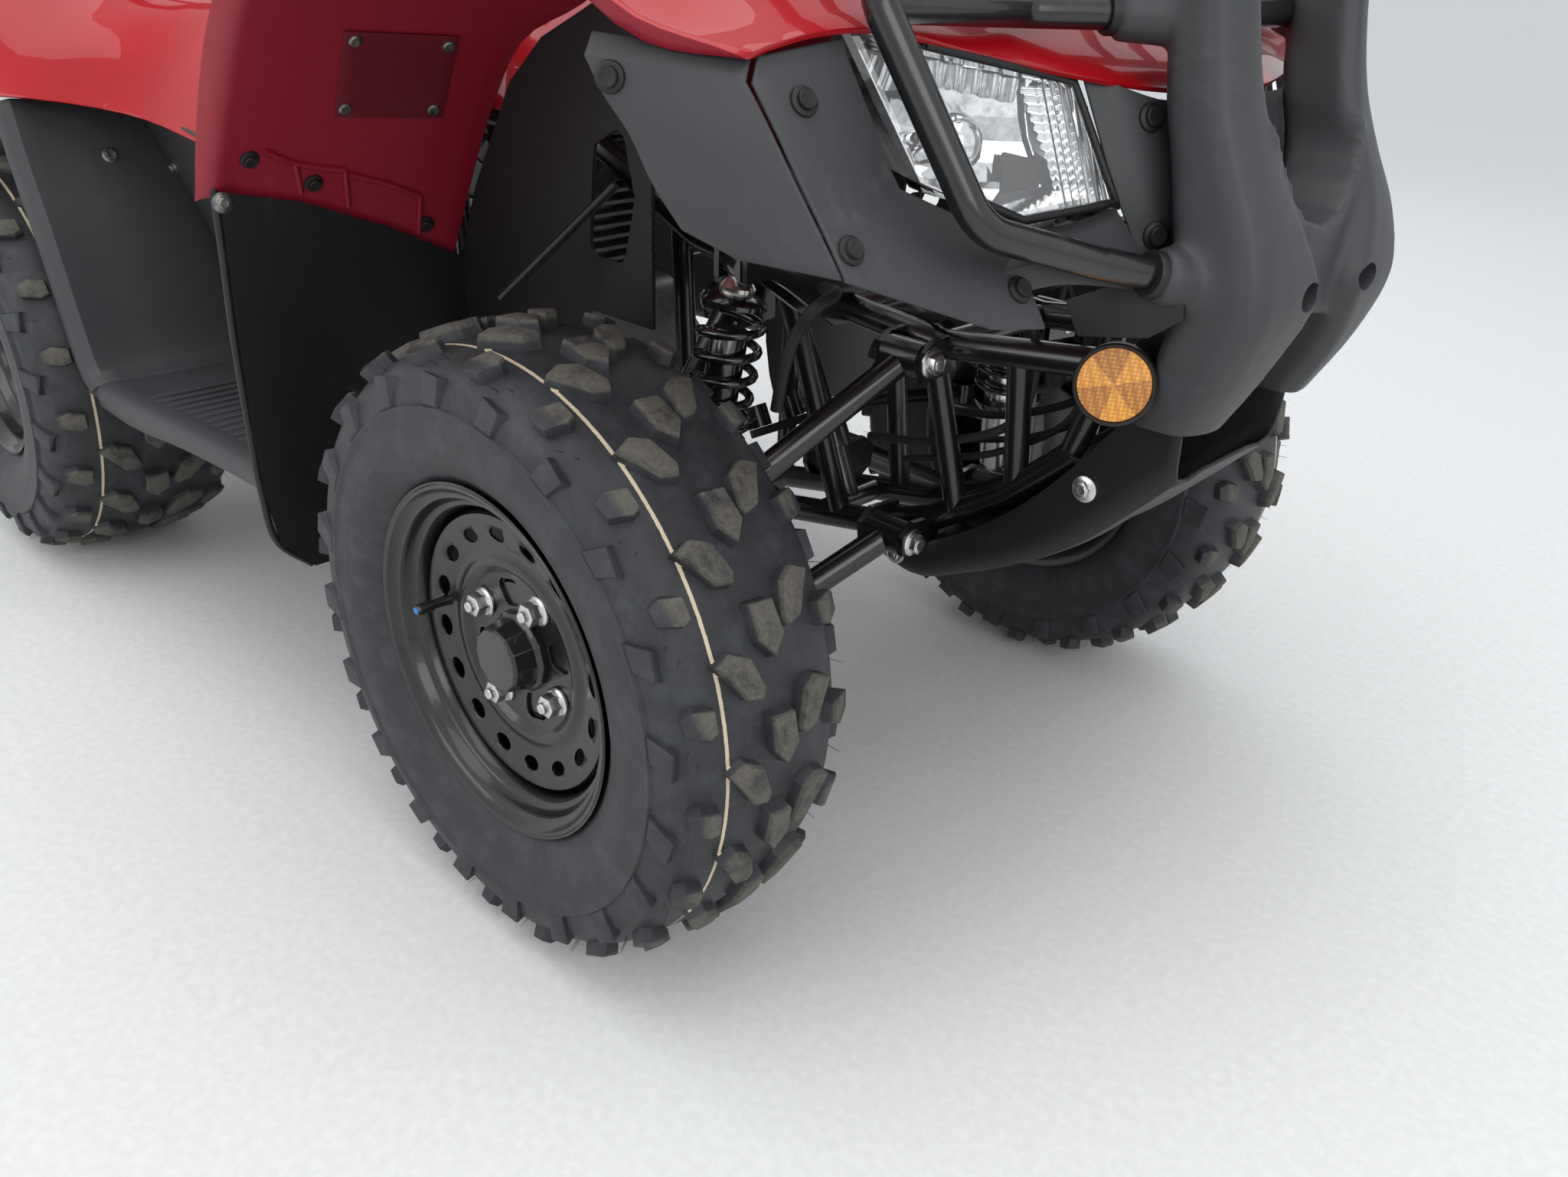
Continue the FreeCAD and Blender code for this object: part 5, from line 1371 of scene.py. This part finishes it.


# rear fender, tank cover and its filler
def makeBodywork():
    # columns: x from the rear axle, then y and z from the rolled edge's end in, then z at y 60 and at the
    # middle
    rows = (
        (730, (-346, 562), (-344, 564), (-308, 634), (-262, 690), (-226, 724), (-152, 744), None, None),
        (558, (-342, 580), (-340, 583), (-305, 648), (-262, 696), (-226, 726), (-152, 742), 738, None),
        (420, (-345, 600), (-342, 605), (-308, 662), (-264, 706), (-226, 730), (-152, 742), 738, None),
        (300, (-370, 618), (-364, 625), (-330, 678), (-282, 724), (-226, 742), (-152, 742), 738, None),
        (205, (-468, 632), (-462, 642), (-430, 684), (-372, 722), (-290, 748), (-152, 744), 742, None),
        (150, (-500, 628), (-494, 646), (-464, 712), (-400, 760), (-300, 778), (-152, 748), 744, None),
        (60, (-506, 648), (-500, 666), (-474, 742), (-404, 792), (-300, 800), (-152, 752), 748, 750),
        (-80, (-506, 658), (-500, 676), (-474, 756), (-404, 802), (-300, 808), (-152, 756), 752, 754),
        (-200, (-500, 652), (-494, 670), (-468, 746), (-400, 788), (-300, 794), (-152, 758), 752, 754),
        (-280, (-474, 640), (-468, 658), (-440, 722), (-380, 752), (-290, 758), (-152, 756), 742, 744),
        (-312, (-440, 632), (-434, 646), (-410, 690), (-360, 712), (-280, 718), (-152, 722), 720, 722),
    )
    grid = []
    for x, *line in rows:
        right = [astern(x, y, z) for y, z in line[:6]]
        right += [z and astern(x, y, z) for y, z in ((-60, line[6]), (0, line[7]))]
        grid.append(acrossBoth(right))
    tail = ((-318, -424, 634), (-318, -419, 642), (-322, -396, 650), (-322, -352, 652), (-322, -276, 650),
            (-322, -152, 640), (-322, -60, 640), (-322, 0, 640))
    grid.append(acrossBoth([astern(*p) for p in tail]))
    # the inner skin takes the darker red, a painted shade
    fender = moulding("rearFender", grid, thick=0.004, steps=(4, 3), skins=(redGloss, redInsidePaintedShade))
    fixed(fender, None, "rear_fender", slot="red")

    # columns: share of the way back, low half width, high half width, low z, high z
    table = ((0, 196, 96, 742, 852), (0.336, 178, 104, 668, 858), (0.607, 148, 100, 654.5, 846),
             (1, 144, 84, 658.5, 798))
    front, rear = frontX - 0.176, rearHub.x + 0.586
    grid = []
    for share, low, high, lowZ, highZ in table:
        x = front + (rear - front) * share
        section = ((-low, lowZ), (-low * 0.86 - high * 0.14 - 5, lowZ + (highZ - lowZ) * 0.34),
                   (-low * 0.4 - high * 0.6 - 9, lowZ + (highZ - lowZ) * 0.72), (-high, highZ - 10),
                   (-high * 0.62, highZ), (-high * 0.2, highZ + 3), (0, highZ + 3))
        grid.append(acrossBoth([Vector((x, y / 1000, z / 1000)) for y, z in section]))
    # the inner skin takes the darker red, a painted shade
    tank = moulding("tankCover", grid, thick=0.004, steps=(6, 3), skins=(redGloss, redInsidePaintedShade))
    fixed(tank, None, "tank_cover", slot="red")
    filler = together([
        lathe("collar", ((0.030, -0.012), (0.046, -0.012), (0.046, 0.004), (0.042, 0.008), (0.030, 0.008)),
              steps=40),
        lathe("lid", ((0, 0.006), (0.036, 0.006), (0.036, 0.024), (0.031, 0.029), (0, 0.030)), steps=14,
              angle=20),
        prismOf("grip", ((-0.030, -0.006), (0.030, -0.006), (0.034, 0), (0.030, 0.006), (-0.030, 0.006),
                         (-0.034, 0)), 0.010,
                bevel=0.002)], "filler")
    moved(filler, (front + (rear - front) * 0.52, 0, 0.848))
    fixed(filler, black, slot="black")
    print("rear body made")


makeBodywork()


# footwells
def makeFootwells():
    middle = (frontX - 0.412 + rearHub.x + 0.405) / 2
    # columns: x of the floor, how far its upper edge stands ahead, floor z, skirt, upper edge's z
    stations = ((frontX - 0.371, 0.001, 334, 20, 556), (frontX - 0.430, 0.006, 333, 21, 563),
                (middle, -0.024, 328, 24, 582), (rearHub.x + 0.405, -0.074, 320, 30, 604),
                (rearHub.x + 0.330, -0.140, 318, 26, 622))
    grid = []
    for x, lean, z, skirt, top in stations:
        grid.append([Vector((x + lean * share, y / 1000, height / 1000)) for y, height, share in (
            (-470, z - skirt, 0), (-471, z - 4, 0), (-465, z + 1, 0), (-430, z, 0), (-340, z, 0),
            (-284, z + 4, 0), (-264, z + 22, 0.05), (-270, z + (top - z) * 0.40, 0.4),
            (-296, z + (top - z) * 0.74, 0.75), (-331, top + 3, 1.0), (-345, top + 12, 1.0))])
    tub = moulding("tub", grid, thick=0.004, steps=(4, 3))
    # columns: x from the rear axle, z, inner half width
    heel = ((330, 317, 242), (311, 328, 242), (300, 344, 244), (283, 388, 248), (250, 484, 262),
            (216, 570, 284), (200, 626, 300))
    back = moulding("back", [[astern(x - 14, -474, z - 10), astern(x, -471, z), astern(x, -420, z),
                              astern(x, -350, z),
                              astern(x, -inner, z)] for x, z, inner in heel], thick=0.004, steps=(3, 3),
                              facing=(1, 0, 0))
    ribs = []
    x = rearHub.x + 0.425
    while x < frontX - 0.445:
        rib = prismOf("rib", ((-0.0045, -0.452), (0.0045, -0.452), (0.0045, -0.300), (-0.0045, -0.300)),
                      0.0046, bevel=0.0012)
        z = 0.318 + 0.014 * (x - rearHub.x - 0.405) / 0.32
        moved(rib, (x, 0, min(z, 0.332)))
        ribs.append(rib)
        x += 0.022
    boards = bothSides(together([tub, back] + ribs, "footwell"), "footBoards")
    fixed(boards, charcoal, "footwells", slot="charcoal")
    caps = capsAt(boards, ((140, 198), (222, 214)), radius=0.0100)
    if caps:
        fixed(together(caps, "footCaps"), darkZinc, slot="steel")
    print("footwells made")


makeFootwells()


# seat: a closed cushion over the base, swelled by the cloth solver, with its seams laid on after
seatLook = {"voxel": 0.006, "quality": 4, "mass": 0.3, "frames": 20, "pressure": 4.0,
            "cap": 0.009, "shrink": 0.006, "cord": 0.0021}


def seatRing(x, low, high, lowZ, highZ, inset=0.0):
    k = inset * 1000
    low, high, lowZ, highZ = low - k, high - k, lowZ + k * 0.3, highZ - k
    flat = ((-low, lowZ), (-low - 1, lowZ + 14), (-low + 5, highZ - 20), (-high - 8, highZ - 5),
            (-high + 12, highZ), (-high * 0.45, highZ + 3), (0, highZ + 4))
    return acrossBoth([astern(x, y, z) for y, z in flat])


def makeSeat():
    # columns: x from the rear axle, low and high half width, low and high z
    table = ((582, 108, 76, 741, 790), (560, 116, 88, 741, 797), (491, 130, 100, 741, 799),
             (371, 148, 116, 741.5, 802), (171, 152, 124, 746.5, 820), (-19, 146, 120, 754.1, 834),
             (-110, 136, 108, 755.5, 826), (-139, 126, 92, 755.5, 806))
    rings = [seatRing(*row, inset=seatLook["shrink"]) for row in table]
    cushion = tower("seatCushion", rings, steps=3)
    modify(cushion, "REMESH", mode="VOXEL", voxel_size=seatLook["voxel"])
    start = [point.co.copy() for point in cushion.data.vertices]
    pick(cushion)
    made = cushion.modifiers.new("Cloth", "CLOTH")
    made.settings.quality = seatLook["quality"]
    made.settings.mass = seatLook["mass"]
    made.settings.use_pressure = True
    made.settings.uniform_pressure_force = seatLook["pressure"]
    made.settings.effector_weights.gravity = 0
    made.point_cache.frame_end = seatLook["frames"]
    for moment in range(1, seatLook["frames"] + 1):
        bpy.context.scene.frame_set(moment)
    bpy.ops.object.modifier_apply(modifier=made.name)
    bpy.context.scene.frame_set(1)
    for point, rest in zip(cushion.data.vertices, start):
        move = point.co - rest
        if move.length > seatLook["cap"]:
            point.co = rest + move * (seatLook["cap"] / move.length)
        if rest.z < 0.7475 + (0.582 - rest.x + rearHub.x) * 0.012:
            point.co = rest
    modify(cushion, "SMOOTH", factor=0.5, iterations=3)
    modify(cushion, "SUBSURF", levels=1, render_levels=1)
    smooth(cushion, 60)
    fixed(cushion, seatVinyl, "seat", slot="seat")

    def onTop(x, y):
        place, _ = struck(cushion, astern(x, y, 950), (0, 0, -1))
        return place

    seams = []
    for side in (-1, 1):
        line = []
        for x, _, high, _, _ in table[1:-1]:
            place = onTop(x, side * (high - 2))
            if place:
                line.append(place + Vector((0, 0, 0.0006)))
        seams.append(hose("seam", line, seatLook["cord"], steps=6, sides=8))
    for x, half in ((556, 86), (300, 112), (-104, 104)):
        line = [onTop(x, half * k / 4) for k in range(-4, 5)]
        line = [place + Vector((0, 0, 0.0004)) for place in line if place]
        seams.append(hose("seam", line, seatLook["cord"] * 0.8, steps=4, sides=8))
    fixed(together(seams, "seatSeams"), seatVinyl, slot="seat")
    print("seat made")


makeSeat()


# handgrips, in the place of the CAD ones
gripLook = {"ridges": 13, "groove": 0.0013, "flange": 0.0055}


def endOf(points, along, share):
    # the places at one end of a bar that runs along a direction: share 0 is its start and 1 its end
    reach = [point.dot(along) for point in points]
    low, high = min(reach), max(reach)
    goal = low + (high - low) * share
    return [point for point, r in zip(points, reach) if abs(r - goal) < (high - low) * 0.03]


def makeGrips():
    pieces = []
    for side in (-1, 1):
        points = [point.co.copy() for point in nodes["grips"].data.vertices if point.co.y * side > 0]
        along = Vector((0, side, 0))
        for _ in range(3):
            ends = [endOf(points, along, share) for share in (0, 1)]
            near, far = [sum(end, Vector()) / len(end) for end in ends]
            along = (far - near).normalized()
        radius = max((point - near - along * (point - near).dot(along)).length for point in points)
        length = (far - near).length
        profile = [(0.0112, 0), (radius, 0), (radius, 0.005), (radius - 0.002, 0.008)]
        step = (length - 0.020) / gripLook["ridges"]
        for k in range(gripLook["ridges"]):
            z = 0.010 + step * k
            profile += [(radius - 0.001 - gripLook["groove"], z), (radius - 0.001, z + step * 0.25),
                        (radius - 0.001, z + step * 0.75)]
        profile += [(radius - 0.002, length - 0.006), (radius, length - 0.004), (radius - 0.002, length),
                    (0.006, length), (0.006, length - 0.004), (0.0112, length - 0.006)]
        pieces.append(aimed(lathe("grip", profile, steps=36, angle=30), near, along))
    finished(together(pieces, "handgrips"), "steering", gripRubber, "grips", slot="grip")
    border = [astern(-328, y, z) for y, z in ((-62, 658), (0, 657), (62, 658), (64, 680), (62, 702), (0, 703),
                                              (-62, 702), (-64, 680), (-62, 658))]
    fixed(hose("bezel", border, radius=0.0032, steps=4, sides=8), black, slot="black")
    print("grips made")


makeGrips()


# silencer, the fenders' stays, the mud guards' edges and the plates under the bumper tube
def makeSmallParts():
    rod = [astern(281, -188, 519.5), astern(-137, -188, 606)]
    length = (rod[1] - rod[0]).length
    shell = lathe("shell", ((0, 0.002), (0.030, 0.002), (0.0525, 0.024), (0.0548, 0.034),
                            (0.0548, length - 0.044), (0.0566, length - 0.040), (0.0566, length - 0.028),
                            (0.0520, length - 0.012), (0.0380, length), (0.0200, length + 0.002),
                            (0.0180, length - 0.010), (0, length - 0.012)), steps=56, angle=30)
    bands = [lathe("band", ((0.0545, at), (0.0572, at), (0.0572, at + 0.016), (0.0545, at + 0.016)), steps=56)
             for at in (0.090, length - 0.130)]
    silencer = aimed(together([shell] + bands, "silencer"), rod[0], rod[1] - rod[0])
    fixed(silencer, exhaustBlack, "muffler", slot="exhaust")
    stay = hose("stay", (ahead(-104, -236, 630), ahead(-196, -300, 520)), radius=0.0042, steps=1, sides=12)
    edge = hose("edge", [ahead(-367, y, z) for y, z in ((-478, 618), (-479, 560), (-481, 480), (-480, 385),
                                                        (-478, 320),
                                                       (-469, 262), (-437, 229))], radius=0.0038, steps=5,
                                                       sides=10)
    bolt = aimed(hexBolt(across=0.011, height=0.005, flange=0.0095), ahead(-362, -474, 600), (1, -0.1, 0))
    plate = prismOf("plate", ((0, -0.012), (0.050, -0.030), (0.078, -0.026), (0.084, -0.008), (0.040, 0.014),
                              (0, 0.016)),
                    0.004, bevel=0.0010)
    aimed(plate, ahead(318, -148, 585), (0.2, -1, 0.1), turn=0.5)
    paired([stay, edge, plate], "fenderStays", black, slot="black")
    paired([bolt], "edgeBolts", darkZinc, slot="steel")
    print("small parts made")


makeSmallParts()


# camera, light and floor
def makeCamera():
    look = cameraLook
    bpy.ops.object.camera_add()
    camera = bpy.context.object
    camera.matrix_world = Matrix(cameraAxes()).transposed().to_4x4()
    camera.location = look["place"]
    camera.data.sensor_width = look["sensor"]
    camera.data.lens = look["focal length in pixels"] / look["picture width"] * look["sensor"]
    camera.data.clip_start = 0.02
    camera.data.clip_end = 400
    bpy.context.scene.camera = camera


lightLook = {
    # columns: place, what it faces, size across and down, watts
    "sky": ((0.6, -0.6, 3.6), (0.2, 0, 0.4), 3.6, 3.0, 58),
    "front": ((3.4, -1.6, 1.9), (0.4, -0.2, 0.5), 2.2, 1.6, 29),
    "side": ((-0.6, -3.6, 1.7), (0.1, -0.2, 0.4), 2.6, 1.6, 28),
    "far": ((-2.2, 2.8, 2.4), (0, 0, 0.5), 2.6, 2.0, 20),
}


def makeLights():
    for name, (place, target, wide, high, watts) in lightLook.items():
        bpy.ops.object.light_add(type="AREA", location=place)
        lamp = bpy.context.object
        lamp.name = name + "Light"
        lamp.data.shape = "RECTANGLE"
        lamp.data.size = wide
        lamp.data.size_y = high
        lamp.data.energy = watts
        lamp.rotation_euler = (Vector(target) - Vector(place)).to_track_quat("-Z", "Y").to_euler()


def seenAsWhite(tree, plain, white):
    # what the camera, mirrors and glass see as a pale backdrop, and the rest as plain light
    path = tree.nodes.new("ShaderNodeLightPath")
    rays = [Flow(tree, path.outputs[name]) for name in ("Is Camera Ray", "Is Glossy Ray",
                                                        "Is Transmission Ray")]
    share = rays[0].math("MINIMUM", rays[0] + rays[1] * 0.55 + rays[2], 1.0)
    mixer = tree.nodes.new("ShaderNodeMixShader")
    tree.links.new(share.socket, mixer.inputs[0])
    tree.links.new(plain, mixer.inputs[1])
    tree.links.new(white, mixer.inputs[2])
    return mixer.outputs[0]


worldLook = {"light": (0.86, 0.90, 0.95, 1), "strength": 0.95, "backdrop": (0.95, 0.955, 0.96, 1)}


def makeWorld():
    world = bpy.data.worlds.new("studio")
    world.use_nodes = True
    bpy.context.scene.world = world
    tree = world.node_tree
    tree.nodes.clear()
    plain = tree.nodes.new("ShaderNodeBackground")
    plain.inputs["Color"].default_value = worldLook["light"]
    plain.inputs["Strength"].default_value = worldLook["strength"]
    white = tree.nodes.new("ShaderNodeBackground")
    white.inputs["Color"].default_value = worldLook["backdrop"]
    output = tree.nodes.new("ShaderNodeOutputWorld")
    tree.links.new(seenAsWhite(tree, plain.outputs[0], white.outputs[0]), output.inputs[0])


def makeFloor():
    floor = added("plane", "floor", size=300, location=(0, 0, 0))
    moved(floor, (0, 0, -0.0005))
    finish = Finish("paleFloor", Roughness=0.85, Specular_IOR_Level=0.2)
    speck = finish.noise(0.01, 3, 0.6)
    finish.feed(Base_Color=finish.mix(speck.step(0.3, 0.8), (0.70, 0.695, 0.68, 1), (0.76, 0.755, 0.745, 1)))
    floor.data.materials.append(finish.material)


makeCamera()
makeLights()
makeWorld()
makeFloor()
bpy.context.scene.view_settings.view_transform = "Standard"
print("camera, light and floor made")
